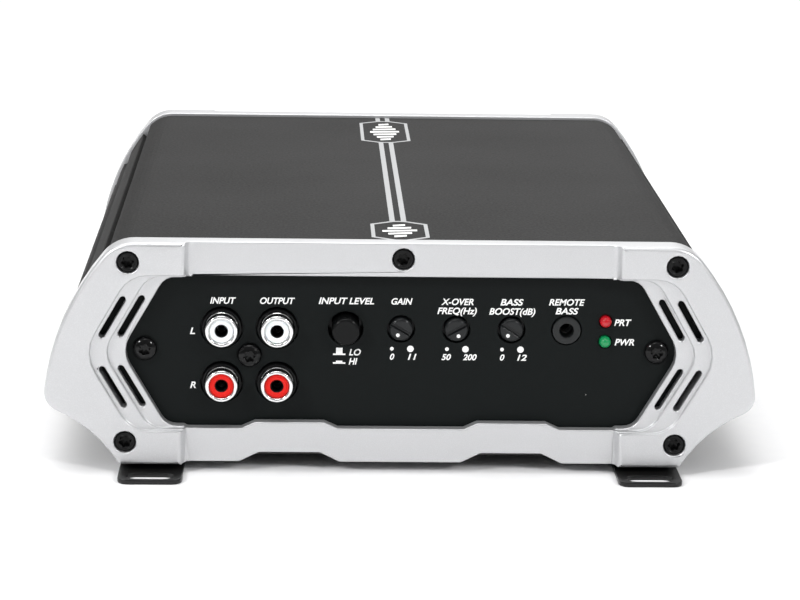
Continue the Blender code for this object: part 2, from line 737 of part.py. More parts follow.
def feet(bench, finish):
    tip = BODY_LENGTH / 2 + FOOT_REACH
    tab = tip - FOOT_TAB_LENGTH
    bend = tab - FOOT_JOGGLE
    rear = tip - FOOT_LENGTH
    section = [
        (tip, 0), (tip, FOOT_THICKNESS), (tab, FOOT_THICKNESS),
        (bend, PAD_BASE + FOOT_THICKNESS), (rear, PAD_BASE + FOOT_THICKNESS),
        (rear, PAD_BASE), (bend - BEND_SHIFT, PAD_BASE), (tab - BEND_SHIFT, 0),
    ]
    outer = SIDE - FOOT_OUTER_INSET
    inner = outer - FOOT_WIDTH
    middle = (outer + inner) / 2
    slot_y = tip - FOOT_SLOT_EDGE - FOOT_SLOT_WIDTH / 2
    slot = rectangle(middle - FOOT_SLOT_LENGTH / 2, middle + FOOT_SLOT_LENGTH / 2,
                     slot_y - FOOT_SLOT_WIDTH / 2, slot_y + FOOT_SLOT_WIDTH / 2)
    slot = rounded(slot, [FOOT_SLOT_WIDTH * SLOT_END] * 4, steps=3)
    corners = [FOOT_PAD_CORNER, FOOT_PAD_CORNER, FOOT_CORNER, FOOT_CORNER]
    plan = rounded(rectangle(inner, outer, rear, tip), corners, 3)
    hole = circle((middle, BODY_LENGTH / 2 - FOOT_SCREW_DEPTH), FOOT_SCREW_THREAD + GAP, 12)
    for end_name, end in (("front", FRONT), ("rear", REAR)):
        for side_name, side in (("left", -1), ("right", 1)):
            name = f"foot_{end_name}_{side_name}"
            turned = [(end * y, z) for y, z in section]
            mesh = prism_mesh(name, [turned], "X", *sorted((side * (inner - GAP), side * (outer + GAP))))
            foot = bench.part(name, mesh, finish)
            loops = [[(side * x, end * y) for x, y in loop] for loop in (plan, slot, hole)]
            plan_mesh = prism_mesh(f"{name}_plan", loops, "Z", -GAP, COVER_BASE)
            bench.boolean(foot, bench.cutter(f"{name}_plan", plan_mesh), "INTERSECT")


def socket(bench, holder_mesh, name, radius, depth, top):
    blank = bench.cutter(f"{name}_blank", holder_mesh)
    hexagonal = prism_mesh(f"{name}_socket", [circle((0, 0), radius, 6)], "Z", top - depth, top + GAP)
    bench.boolean(blank, bench.cutter(f"{name}_socket", hexagonal))
    return bench.fixed_mesh(blank)


def cap_screws(bench, finish):
    head, thread = CAP_SCREW_HEAD / 2, THREAD_RADIUS
    profile = [
        (0, CAP_SCREW_HEIGHT), (head - SCREW_EDGE, CAP_SCREW_HEIGHT),
        (head, CAP_SCREW_HEIGHT - SCREW_EDGE), (head, 0), (thread, 0),
        (thread, THREAD_TIP - CAP_SCREW_LENGTH), (thread - THREAD_TIP, -CAP_SCREW_LENGTH),
        (0, -CAP_SCREW_LENGTH),
    ]
    blank = turned_mesh("cap_screw", profile, 12)
    mesh = socket(bench, blank, "cap_screw", CAP_SOCKET_RADIUS, CAP_SOCKET_DEPTH, CAP_SCREW_HEIGHT)
    names = ("top_left", "top_right", "base_left", "base_right", "top_middle")
    for end_name, end in (("front", FRONT), ("rear", REAR)):
        for place_name, (x, z) in zip(names, cap_screw_places()):
            face = MIDDLE_SETBACK if place_name == "top_middle" else 0
            seat = end * (BODY_LENGTH / 2 - face - CAP_SCREW_SUNK - CAP_SCREW_HEIGHT)
            name = f"{end_name}_cap_screw_{place_name}"
            bench.part(name, mesh, finish, (x, seat, z), (90 if end == FRONT else -90, 0, 0))


def panel_screws(bench, finish):
    height = PANEL_SCREW_HEIGHT
    head = PANEL_SCREW_HEAD / 2
    length = PANEL_SCREW_LENGTH
    angles = [math.radians(angle) for angle in PANEL_SCREW_DOME]
    dome = [(head * math.sin(angle), height * math.cos(angle)) for angle in angles]
    profile = dome + [
        (head, 0), (THREAD_RADIUS, 0), (THREAD_RADIUS, THREAD_TIP - length),
        (THREAD_RADIUS - THREAD_TIP, -length), (0, -length),
    ]
    blank = turned_mesh("panel_screw", profile, 12)
    mesh = socket(bench, blank, "panel_screw", PANEL_SOCKET_RADIUS, PANEL_SOCKET_DEPTH, height)
    for end_name, end in (("front", FRONT), ("rear", REAR)):
        seat = end * (BODY_LENGTH / 2 - PANEL_RECESS + GAP)
        turn = (90 if end == FRONT else -90, 0, 0)
        for side_name, (x, z) in zip(("left", "right"), panel_screw_places()):
            bench.part(f"{end_name}_panel_screw_{side_name}", mesh, finish, (x, seat, z), turn)
    seat = FRONT * (BODY_LENGTH / 2 - PANEL_RECESS + GAP)
    bench.part("jack_screw", mesh, finish, (JACK_X, seat, JACK_Z), (90, 0, 0))


def foot_screws(bench, finish):
    head, height, thread = FOOT_SCREW_HEAD / 2, FOOT_SCREW_HEIGHT, FOOT_SCREW_THREAD
    length = LEDGE_Z - FOOT_THREAD_CAP - GAP * 2 - PAD_BASE
    profile = [
        (0, height), (head - SCREW_EDGE, height), (head, height - SCREW_EDGE), (head, 0),
        (thread, 0), (thread, -length), (0, -length),
    ]
    blank = turned_mesh("foot_screw", profile, 12)
    mesh = socket(bench, blank, "foot_screw", FOOT_SOCKET_RADIUS, FOOT_SOCKET_DEPTH, height)
    names = ("front_left", "front_right", "rear_left", "rear_right")
    for name, (x, y) in zip(names, foot_screw_places()):
        bench.part(f"foot_screw_{name}", mesh, finish, (x, y, PAD_BASE - GAP), (180, 0, 0))


def front_panel(bench, finish):
    loops = [hexagon("panel", PANEL)]
    loops += [circle(place, THREAD_RADIUS + GAP, 12) for place in panel_screw_places()]
    loops.append(circle((JACK_X, JACK_Z), THREAD_RADIUS + GAP, 12))
    loops += [circle((x, z), COLLAR_RADIUS + COLLAR_HOLE_GAP, 16) for _, x, z in jack_places()]
    loops.append(circle((BUTTON_X, ROW_Z), BUTTON_DIAMETER / 2 + BUTTON_HOLE_GAP, 16))
    loops += [circle((x, ROW_Z), KNOB_DIAMETER / 2 + KNOB_HOLE_GAP, 16) for _, x in knob_places()]
    loops.append(circle((REMOTE_X, ROW_Z), REMOTE_BARREL / 2 + GAP, 16))
    loops += [circle((LED_X, z), LED_DIAMETER / 2 + GAP, 12) for _, z in led_places()]
    span = depths(FRONT, PANEL_RECESS, PANEL_RECESS + PANEL_THICKNESS)
    bench.part("front_panel", prism_mesh("front_panel", loops, "Y", *span), finish)


def rear_panel(bench, finish):
    base, top = terminal_span()
    loops = [hexagon("panel", PANEL)]
    loops += [circle(place, THREAD_RADIUS + GAP, 12) for place in panel_screw_places()]
    for x, ways in ((POWER_X, POWER_WAYS), (SPEAKER_X, SPEAKER_WAYS)):
        half = terminal_half(ways) + GAP
        loops.append(rectangle(x - half, x + half, base - GAP, top + GAP))
    middle = (base + top) / 2
    half_x, half_z = HOLDER_WIDTH / 2 + GAP, HOLDER_HEIGHT / 2 + GAP
    loops.append(rectangle(-half_x, half_x, middle - half_z, middle + half_z))
    span = depths(REAR, PANEL_RECESS, PANEL_RECESS + PANEL_THICKNESS)
    bench.part("rear_panel", prism_mesh("rear_panel", loops, "Y", *span), finish)


def phono_jacks(bench, black, chrome, insulators):
    half_x = JACK_PITCH_X / 2 + COLLAR_RADIUS + HOUSING_MARGIN
    top = JACK_Z + JACK_PITCH_Z / 2 + COLLAR_RADIUS + HOUSING_MARGIN
    back = BODY_END + HOUSING_DEPTH
    outline = rectangle(JACK_X - half_x, JACK_X + half_x, PART_BASE, top)
    block = prism_mesh("jack_housing", [outline], "Y", *depths(FRONT, BODY_END, back))
    housing = bench.part("jack_housing", block, black)
    collars = [circle((x, z), COLLAR_RADIUS, 16) for _, x, z in jack_places()]
    near = PANEL_RECESS - COLLAR_REACH
    collar_mesh = prism_mesh("collars", collars, "Y", *depths(FRONT, near, BODY_END + JOIN_DEPTH))
    bench.boolean(housing, bench.cutter("collars", collar_mesh), "UNION")
    shell_near = PANEL_RECESS - SHELL_REACH
    shell_far = shell_near + SHELL_LENGTH
    bores = [circle((x, z), SHELL_DIAMETER / 2 + GAP, 16) for _, x, z in jack_places()]
    bore_mesh = prism_mesh("shell_bores", bores, "Y", *depths(FRONT, near - GAP, shell_far + GAP))
    bench.boolean(housing, bench.cutter("shell_bores", bore_mesh))
    thread = [circle((JACK_X, JACK_Z), THREAD_RADIUS + GAP, 12)]
    thread_far = PANEL_RECESS + PANEL_SCREW_LENGTH + THREAD_ROOM
    thread_mesh = prism_mesh("jack_thread", thread, "Y", *depths(FRONT, BODY_END - GAP, thread_far))
    bench.boolean(housing, bench.cutter("jack_thread", thread_mesh))

    outer = SHELL_DIAMETER / 2
    bore = outer - SHELL_WALL
    tube = [
        (bore, 0), (outer - SHELL_EDGE, 0), (outer, -SHELL_EDGE), (outer, -SHELL_LENGTH),
        (bore, -SHELL_LENGTH),
    ]
    shell = turned_mesh("jack_shell", tube, 16, ring=True)
    plug, contact, length = bore - GAP, CONTACT_BORE / 2, SHELL_LENGTH - INSULATOR_SUNK
    core = [
        (0, -CONTACT_DEPTH), (contact, -CONTACT_DEPTH), (contact, 0), (plug, 0), (plug, -length),
        (0, -length),
    ]
    insulator = {row: turned_mesh(f"{row}_insulator", core, 16) for row in insulators}
    for name, x, z in jack_places():
        bench.part(f"jack_shell_{name}", shell, chrome, (x, -BODY_LENGTH / 2 + shell_near, z), (90, 0, 0))
        row = name.split("_")[1]
        place = (x, -BODY_LENGTH / 2 + shell_near + INSULATOR_SUNK, z)
        bench.part(f"jack_insulator_{name}", insulator[row], insulators[row], place, (90, 0, 0))


def standing_loop(x, z):
    half, leg = CONTROL_BODY / 2, CONTROL_LEG / 2
    gusset = half + CONTROL_LEG / 4
    return [
        (x - leg, PART_BASE), (x + leg, PART_BASE), (x + leg, z - gusset), (x + half, z - half),
        (x + half, z + half), (x - half, z + half), (x - half, z - half), (x - leg, z - gusset),
    ]


def level_control(bench, button_finish, body_finish):
    radius, stem = BUTTON_DIAMETER / 2, STEM_RADIUS
    face = PANEL_RECESS - BUTTON_REACH
    skirt = BODY_END + BUTTON_SKIRT - face
    length = skirt + BUTTON_STEM
    round_over = arc((radius - BUTTON_ROUND, -BUTTON_ROUND), BUTTON_ROUND, 90, 0, 3)
    profile = [(0, 0)] + round_over
    profile += [(radius, -skirt), (stem, -skirt), (stem, -length), (0, -length)]
    place = (BUTTON_X, -BODY_LENGTH / 2 + face, ROW_Z)
    bench.part("level_button", turned_mesh("level_button", profile, 16), button_finish, place, (90, 0, 0))
    near = face + skirt + BUTTON_TRAVEL + GAP
    far = face + length + BUTTON_TRAVEL + GAP + BORE_FLOOR
    loop = standing_loop(BUTTON_X, ROW_Z)
    body = prism_mesh("level_switch", [loop], "Y", *depths(FRONT, near, far))
    switch = bench.part("level_switch", body, body_finish)
    bore = [circle((BUTTON_X, ROW_Z), stem + GAP, 12)]
    bore_mesh = prism_mesh("level_bore", bore, "Y", *depths(FRONT, near - GAP, far - BORE_FLOOR))
    bench.boolean(switch, bench.cutter("level_bore", bore_mesh))


def knobs(bench, knob_finish, body_finish):
    radius, stem = KNOB_DIAMETER / 2, STEM_RADIUS
    face = PANEL_RECESS - KNOB_REACH
    skirt = BODY_END + KNOB_SKIRT - face
    near = face + skirt + GAP
    far = near + CONTROL_DEPTH
    length = far - BORE_FLOOR - GAP - face
    profile = [
        (0, 0), (radius - KNOB_EDGE, 0), (radius, -KNOB_EDGE), (radius, -skirt),
        (stem, -skirt), (stem, -length), (0, -length),
    ]
    blank = turned_mesh("knob", profile, 16)
    for name, x in knob_places():
        rest = KNOB_REST[name]
        place = (x, -BODY_LENGTH / 2 + face, ROW_Z)
        knob = bench.part(f"{name}_knob", blank.copy(), knob_finish, place, (90, 0, 0))
        slot_size = (-radius, radius), (-KNOB_SLOT / 2, KNOB_SLOT / 2), (-KNOB_SLOT, GAP)
        slot = box_mesh(f"{name}_slot", *slot_size)
        slot.transform(Matrix.Rotation(math.radians(-rest), 4, "Z"))
        cutter = bench.cutter(f"{name}_slot", slot, place, (90, 0, 0))
        bench.boolean(knob, cutter)
        loop = standing_loop(x, ROW_Z)
        pot_mesh = prism_mesh(f"{name}_potentiometer", [loop], "Y", *depths(FRONT, near, far))
        pot = bench.part(f"{name}_potentiometer", pot_mesh, body_finish)
        bore = [circle((x, ROW_Z), stem + GAP, 12)]
        bore_mesh = prism_mesh(f"{name}_bore", bore, "Y", *depths(FRONT, near - GAP, far - BORE_FLOOR))
        bench.boolean(pot, bench.cutter(f"{name}_bore", bore_mesh))


def remote_jack(bench, finish):
    near = PANEL_RECESS - REMOTE_REACH
    far = BODY_END + REMOTE_DEPTH
    loop = standing_loop(REMOTE_X, ROW_Z)
    body = prism_mesh("remote_jack", [loop], "Y", *depths(FRONT, BODY_END, far))
    jack = bench.part("remote_jack", body, finish)
    barrel = [circle((REMOTE_X, ROW_Z), REMOTE_BARREL / 2, 16)]
    barrel_mesh = prism_mesh("remote_barrel", barrel, "Y", *depths(FRONT, near, BODY_END + JOIN_DEPTH))
    bench.boolean(jack, bench.cutter("remote_barrel", barrel_mesh), "UNION")
    bore = [circle((REMOTE_X, ROW_Z), REMOTE_BORE / 2, 16)]
    bore_mesh = prism_mesh("remote_bore", bore, "Y", *depths(FRONT, near - GAP, far - BORE_FLOOR))
    bench.boolean(jack, bench.cutter("remote_bore", bore_mesh))


def indicators(bench, finishes):
    radius = LED_DIAMETER / 2
    tip = PANEL_RECESS - LED_REACH
    flange = BODY_END + GAP - tip
    length = flange + LED_FLANGE
    dome = arc((0, -radius), radius, 90, 0, 4)[1:]
    profile = [(0, 0)] + dome + [
        (radius, -flange), (radius + LED_LIP, -flange), (radius + LED_LIP, -length), (0, -length),
    ]
    face_y = -BODY_LENGTH / 2
    for index, (name, z) in enumerate(led_places()):
        led_mesh = turned_mesh(name, profile, 12)
        led = bench.part(name, led_mesh, finishes[name], (LED_X, face_y + tip, z), (90, 0, 0))
        near = face_y + tip + length - LED_FLANGE / 2
        far = face_y + tip + length + LEAD_SPREAD * (len(finishes) - index)
        half = LEAD_SIZE / 2
        lead = [
            (near, z + half), (far, z + half), (far, PART_BASE), (far - LEAD_SIZE, PART_BASE),
            (far - LEAD_SIZE, z - half), (near, z - half),
        ]
        lead_mesh = prism_mesh(f"{name}_lead", [lead], "X", LED_X - half, LED_X + half)
        bench.boolean(led, bench.cutter(f"{name}_lead", lead_mesh), "UNION")


def terminal_block(bench, name, x, ways, finish):
    base, top = terminal_span()
    half = terminal_half(ways)
    rear_y = BODY_LENGTH / 2 - PANEL_RECESS + TERMINAL_REACH
    inner_y = BODY_LENGTH / 2 - BODY_END
    front_y = inner_y - TERMINAL_DEPTH
    section = [
        (front_y, PART_BASE), (inner_y - GAP, PART_BASE), (inner_y - GAP, base), (rear_y, base),
        (rear_y, top), (front_y, top),
    ]
    block = bench.part(name, prism_mesh(name, [section], "X", x - half, x + half), finish)
    middle = base + TERMINAL_HEIGHT * WIRE_LEVEL
    entries, clamps = [], []
    for way in range(ways):
        wire_x = x + (way - (ways - 1) / 2) * TERMINAL_PITCH
        half_entry = WIRE_ENTRY / 2
        entries.append(rectangle(wire_x - half_entry, wire_x + half_entry,
                                 middle - half_entry, middle + half_entry))
        clamps.append(circle((wire_x, rear_y - CLAMP_SETBACK), CLAMP_HOLE / 2, 12))
    entry_mesh = prism_mesh(f"{name}_entries", entries, "Y", rear_y - WIRE_DEPTH, rear_y + GAP)
    bench.boolean(block, bench.cutter(f"{name}_entries", entry_mesh))
    clamp_mesh = prism_mesh(f"{name}_clamps", clamps, "Z", middle, top + GAP)
    bench.boolean(block, bench.cutter(f"{name}_clamps", clamp_mesh))


def fuses(bench, holder_finish, fuse_finish):
    base, top = terminal_span()
    middle = (base + top) / 2
    low_z, high_z = middle - HOLDER_HEIGHT / 2, middle + HOLDER_HEIGHT / 2
    rear_y = BODY_LENGTH / 2 - PANEL_RECESS + HOLDER_REACH
    front_y = rear_y - HOLDER_DEPTH
    foot_y = BODY_LENGTH / 2 - BODY_END - GAP
    section = [
        (front_y, PART_BASE), (foot_y, PART_BASE), (foot_y, low_z), (rear_y, low_z),
        (rear_y, high_z), (front_y, high_z),
    ]
    holder_mesh = prism_mesh("fuse_holder", [section], "X", -HOLDER_WIDTH / 2, HOLDER_WIDTH / 2)
    holder = bench.part("fuse_holder", holder_mesh, holder_finish)
    pull_y = BODY_LENGTH / 2 - PANEL_RECESS + FUSE_REACH
    body_y = pull_y - FUSE_BODY
    blade_y = body_y - FUSE_BLADE_DEPTH
    half = FUSE_WIDTH / 2
    for index, level in enumerate((1, -1)):
        z = middle + level * FUSE_PITCH / 2
        outer = -half + BLADE_INSET
        inner = outer + FUSE_BLADE
        plan = [
            (-half, pull_y), (-half, body_y), (outer, body_y), (outer, blade_y),
            (inner, blade_y), (inner, body_y),
        ]
        plan += mirrored(plan)
        low, high = z - FUSE_THICKNESS / 2, z + FUSE_THICKNESS / 2
        name = f"fuse_{index + 1}"
        bench.part(name, prism_mesh(name, [plan], "Z", low, high), fuse_finish)
        pocket = rectangle(-half - GAP, half + GAP, low - GAP, high + GAP)
        pocket_mesh = prism_mesh(f"{name}_pocket", [pocket], "Y", blade_y - GAP, rear_y + GAP)
        bench.boolean(holder, bench.cutter(f"{name}_pocket", pocket_mesh))


def board_parts(bench, finishes):
    half = WALL_X - GAP
    end = BODY_LENGTH / 2 - BODY_END - BOARD_MARGIN
    board = box_mesh("main_board", (-half, half), (-end, end), (BOARD_BASE, BOARD_TOP))
    bench.part("main_board", board, finishes["board"])

    soft = TOROID_ROUND
    right = arc((TOROID_OUTER - soft, TOROID_HEIGHT - soft), soft, 90, 0, 3)
    right += arc((TOROID_OUTER - soft, soft), soft, 0, -90, 3)
    left = arc((TOROID_INNER + soft, soft), soft, 270, 180, 3)
    left += arc((TOROID_INNER + soft, TOROID_HEIGHT - soft), soft, 180, 90, 3)
    toroid = turned_mesh("power_toroid", right + left, 16, ring=True)
    bench.part("power_toroid", toroid, finishes["copper"], (*TOROID_PLACE, PART_BASE))

    radius, edge = CAPACITOR_DIAMETER / 2, CAPACITOR_EDGE
    can = [
        (0, CAPACITOR_HEIGHT), (radius - edge, CAPACITOR_HEIGHT), (radius, CAPACITOR_HEIGHT - edge),
        (radius, 0), (0, 0),
    ]
    can_mesh = turned_mesh("capacitor", can, 16)
    for index in range(2):
        x, y = CAPACITOR_PLACE[0], CAPACITOR_PLACE[1] - index * CAPACITOR_PITCH
        bench.part(f"supply_capacitor_{index + 1}", can_mesh, finishes["sleeve"], (x, y, PART_BASE))

    wall = WALL_X - GAP
    back = wall - TRANSISTOR_THICKNESS
    front = back - CLAMP_THICKNESS
    reach = (TRANSISTOR_COUNT - 1) * TRANSISTOR_PITCH / 2 + TRANSISTOR_WIDTH / 2
    comb = [(front, reach), (front, -reach)]
    for index in range(TRANSISTOR_COUNT):
        low = -reach + index * TRANSISTOR_PITCH
        comb += [(wall, low), (wall, low + TRANSISTOR_WIDTH)]
        if index < TRANSISTOR_COUNT - 1:
            comb += [(back, low + TRANSISTOR_WIDTH), (back, low + TRANSISTOR_PITCH)]
    for side_name, side in (("left", -1), ("right", 1)):
        plan = [(side * x, y) for x, y in comb]
        name = f"transistor_row_{side_name}"
        mesh = prism_mesh(name, [plan], "Z", PART_BASE, PART_BASE + TRANSISTOR_HEIGHT)
        bench.part(name, mesh, finishes["black"])


def main():
    for thing in list(bpy.data.objects):
        bpy.data.objects.remove(thing, do_unlink=True)
    silver = material("silver_paint", (0.68, 0.69, 0.71), 0.38, 0.15)
    charcoal = material("charcoal_powder_coat", (0.060, 0.058, 0.056), 0.62)
    black_paint = material("black_paint", (0.010, 0.012, 0.013), 0.45)
    black_plastic = material("black_plastic", (0.012, 0.012, 0.013), 0.35)
    black_screw = material("black_screw", (0.015, 0.015, 0.016), 0.25, 0.6)
    chrome = material("chrome", (0.80, 0.81, 0.82), 0.12, 1.0)
    white = material("white_insulator", (0.85, 0.85, 0.83), 0.35)
    red = material("red_insulator", (0.70, 0.020, 0.018), 0.35)
    red_lens = material("red_lens", (0.62, 0.010, 0.015), 0.15)
    green_lens = material("green_lens", (0.010, 0.42, 0.11), 0.15)
    fuse_amber = material("fuse_amber", (0.75, 0.38, 0.03), 0.20)
    board_green = material("board_green", (0.010, 0.090, 0.030), 0.45)
    copper = material("copper_winding", (0.55, 0.20, 0.07), 0.30, 0.9)
    sleeve = material("capacitor_sleeve", (0.012, 0.014, 0.050), 0.30)

    bench = Bench()
    end_cap(bench, "front_end_cap", FRONT, silver)
    end_cap(bench, "rear_end_cap", REAR, silver)
    heatsink(bench, charcoal)
    bottom_cover(bench, black_paint)
    feet(bench, black_paint)
    front_panel(bench, black_paint)
    rear_panel(bench, black_paint)
    cap_screws(bench, black_screw)
    panel_screws(bench, black_screw)
    foot_screws(bench, black_screw)
    phono_jacks(bench, black_plastic, chrome, {"left": white, "right": red})
    level_control(bench, black_plastic, black_plastic)
    knobs(bench, black_plastic, black_plastic)
    remote_jack(bench, black_plastic)
    indicators(bench, {"protect_led": red_lens, "power_led": green_lens})
    terminal_block(bench, "power_terminal_block", POWER_X, POWER_WAYS, black_plastic)
    terminal_block(bench, "speaker_terminal_block", SPEAKER_X, SPEAKER_WAYS, black_plastic)
    fuses(bench, black_plastic, fuse_amber)
    board_finishes = {"board": board_green, "copper": copper, "sleeve": sleeve, "black": black_plastic}
    board_parts(bench, board_finishes)


main()
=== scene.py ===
import math

import bmesh
import bpy
from mathutils import Matrix, Vector


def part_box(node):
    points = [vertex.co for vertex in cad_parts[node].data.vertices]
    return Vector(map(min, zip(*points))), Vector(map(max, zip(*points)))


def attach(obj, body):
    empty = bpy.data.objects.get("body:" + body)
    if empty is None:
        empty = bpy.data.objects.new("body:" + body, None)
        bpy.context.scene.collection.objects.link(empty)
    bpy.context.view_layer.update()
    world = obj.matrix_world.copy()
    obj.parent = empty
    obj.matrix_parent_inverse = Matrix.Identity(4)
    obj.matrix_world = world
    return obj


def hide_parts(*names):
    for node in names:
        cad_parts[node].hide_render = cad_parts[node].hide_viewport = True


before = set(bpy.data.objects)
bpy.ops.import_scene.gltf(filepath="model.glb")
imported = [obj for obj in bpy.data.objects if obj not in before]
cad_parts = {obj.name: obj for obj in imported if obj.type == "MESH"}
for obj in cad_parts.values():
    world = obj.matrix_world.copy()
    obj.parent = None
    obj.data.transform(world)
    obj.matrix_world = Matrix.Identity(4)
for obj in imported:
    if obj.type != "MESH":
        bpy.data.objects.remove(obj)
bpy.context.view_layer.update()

scene = bpy.context.scene
front, rear = -1, 1
towardsFront = Matrix.Rotation(math.radians(90), 4, "X")
towardsRear = Matrix.Rotation(math.radians(-90), 4, "X")
towardsFloor = Matrix.Rotation(math.radians(180), 4, "X")
readFromRear = Matrix.Rotation(math.radians(180), 4, "Z") @ towardsFront


def middleOf(node):
    low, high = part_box(node)
    return (low + high) / 2


# Camera, floor and light

cameraSetup = {"place": (-0.0245, -0.7074, 0.2028), "yaw": 2.214, "pitch": 14.323, "roll": 1.022, "lens": 113.8}
floorSetup = {"half": 6.0, "colour": (0.89, 0.89, 0.89, 1), "tint": (0.86, 0.86, 0.87, 1)}
panelAim = (0, -0.05, 0.03)
lightSetup = {
    "sky": {"base": 0.40, "towardsRear": 0.24, "upwards": 0.10},
    "lamps": {
        "overhead": {"place": (-0.15, -0.10, 1.10), "aim": (0, 0, 0.03), "size": (0.9, 0.7), "power": 7.4},
        "leftWindow": {"place": (-0.80, -0.75, 0.75), "aim": panelAim, "size": (0.14, 0.22), "power": 7.6},
        "rightWindow": {"place": (0.75, -0.85, 0.70), "aim": panelAim, "size": (0.14, 0.22), "power": 6.0},
        "backFill": {"place": (0.20, 1.10, 0.70), "aim": (0, 0, 0.03), "size": (0.8, 0.5), "power": 1.5},
        "backdrop": {"place": (0.0, 1.90, 1.60), "aim": (0, 1.5, 0), "size": (2.4, 1.2), "power": 14.0},
    },
}


def addCamera():
    lens = bpy.data.cameras.new("camera")
    lens.sensor_width = 36
    lens.lens = cameraSetup["lens"]
    lens.clip_start, lens.clip_end = 0.05, 30
    eye = bpy.data.objects.new("camera", lens)
    yaw = Matrix.Rotation(math.radians(-cameraSetup["yaw"]), 4, "Z")
    pitch = Matrix.Rotation(math.radians(90 - cameraSetup["pitch"]), 4, "X")
    roll = Matrix.Rotation(math.radians(cameraSetup["roll"]), 4, "Z")
    eye.matrix_world = Matrix.Translation(cameraSetup["place"]) @ yaw @ pitch @ roll
    scene.collection.objects.link(eye)
    scene.camera = eye


def addLights():
    sky = bpy.data.worlds.new("studio")
    sky.use_nodes = True
    board = Board(sky.node_tree)
    glow = sky.node_tree.nodes["Background"]
    glow.inputs["Color"].default_value = (1, 1, 1, 1)
    direction = board.node("ShaderNodeTexCoord", output="Generated")
    rearwards = board.node("ShaderNodeSeparateXYZ", values={"Vector": direction}, output="Y")
    upwards = board.node("ShaderNodeSeparateXYZ", values={"Vector": direction}, output="Z")
    share = lightSetup["sky"]
    strength = share["base"] + rearwards * share["towardsRear"] + upwards * share["upwards"]
    sky.node_tree.links.new(strength.socket, glow.inputs["Strength"])
    scene.world = sky
    for name, lamp in lightSetup["lamps"].items():
        source = bpy.data.lights.new(name, "AREA")
        source.shape = "RECTANGLE"
        source.size, source.size_y = lamp["size"]
        source.energy = lamp["power"]
        holder = bpy.data.objects.new(name, source)
        aim = Vector(lamp["aim"]) - Vector(lamp["place"])
        holder.matrix_world = Matrix.Translation(lamp["place"]) @ aim.to_track_quat("-Z", "Y").to_matrix().to_4x4()
        scene.collection.objects.link(holder)


# Node trees

class Wire:  # a value in a node tree: an expression on it adds Math nodes
    def __init__(self, board, socket):
        self.board = board
        self.socket = socket

    def work(self, operation, first, second):
        return self.board.node("ShaderNodeMath", {"operation": operation}, {0: first, 1: second})

    def __add__(self, other):
        return self.work("ADD", self, other)

    def __radd__(self, other):
        return self.work("ADD", other, self)

    def __sub__(self, other):
        return self.work("SUBTRACT", self, other)

    def __rsub__(self, other):
        return self.work("SUBTRACT", other, self)

    def __mul__(self, other):
        return self.work("MULTIPLY", self, other)

    def __rmul__(self, other):
        return self.work("MULTIPLY", other, self)

    def __gt__(self, other):
        return self.work("GREATER_THAN", self, other)

    def __lt__(self, other):
        return self.work("LESS_THAN", self, other)


class Board:  # adds nodes to one tree
    def __init__(self, tree):
        self.tree = tree

    def node(self, kind, settings=None, values=None, output=0):
        added = self.tree.nodes.new(kind)
        for name, value in (settings or {}).items():
            setattr(added, name, value)
        for key, value in (values or {}).items():
            if isinstance(value, Wire):
                self.tree.links.new(value.socket, added.inputs[key])
            else:
                added.inputs[key].default_value = value
        return Wire(self, added.outputs[output])

    def blend(self, share, first, second):
        return self.node("ShaderNodeMix", {"data_type": "RGBA"}, {0: share, 6: first, 7: second}, output=2)


class Surface(Board):  # a material's tree, with the patterns that the finishes share
    def __init__(self, name, constants):
        self.material = bpy.data.materials.new(name)
        self.material.use_nodes = True
        super().__init__(self.material.node_tree)
        self.shader = self.tree.nodes["Principled BSDF"]
        for socket, value in constants.items():
            self.shader.inputs[socket].default_value = value
        self.place = self.node("ShaderNodeTexCoord", output="Object")

    def drive(self, socket, wire):
        self.tree.links.new(wire.socket, self.shader.inputs[socket])

    def stretched(self, scale):
        return self.node("ShaderNodeMapping", values={"Vector": self.place, "Scale": scale})

    def noise(self, scale, detail=2.0, place=None):
        values = {"Vector": place or self.place, "Scale": scale, "Detail": detail}
        return self.node("ShaderNodeTexNoise", values=values)

    def cells(self, scale, output="Distance"):
        return self.node("ShaderNodeTexVoronoi", values={"Vector": self.place, "Scale": scale}, output=output)

    def relief(self, height, depth, strength=1.0):
        values = {"Height": height, "Distance": depth, "Strength": strength}
        self.drive("Normal", self.node("ShaderNodeBump", values=values))


# Finishes

paintLook = {
    "silver": {
        "colour": (0.52, 0.523, 0.533, 1), "flake": (0.64, 0.644, 0.655, 1), "flakeScale": 5200,
        "cloudScale": 34,
        "roughness": 0.40, "spread": 0.10, "peelScale": 1500, "peelDepth": 0.000005,
        "constants": {"Metallic": 0.72, "Coat Weight": 0.70, "Coat Roughness": 0.08},
    },
    "black": {
        "colour": (0.0028, 0.0040, 0.0040, 1), "flake": (0.0054, 0.0074, 0.0074, 1), "flakeScale": 3800,
        "cloudScale": 30,
        "roughness": 0.50, "spread": 0.12, "peelScale": 2100, "peelDepth": 0.000010,
        "dust": (0.28, 0.28, 0.27, 1), "dustScale": 210, "dustSize": 0.028, "dustRarity": 0.90,
        "constants": {"Specular IOR Level": 0.12},
    },
    "footBlack": {
        "colour": (0.0040, 0.0040, 0.0040, 1), "flake": (0.0085, 0.0085, 0.0085, 1), "flakeScale": 2600,
        "cloudScale": 45,
        "roughness": 0.38, "spread": 0.16, "peelScale": 1300, "peelDepth": 0.000016,
        "constants": {"Specular IOR Level": 0.15, "Coat Weight": 0.5, "Coat Roughness": 0.14},
    },
}


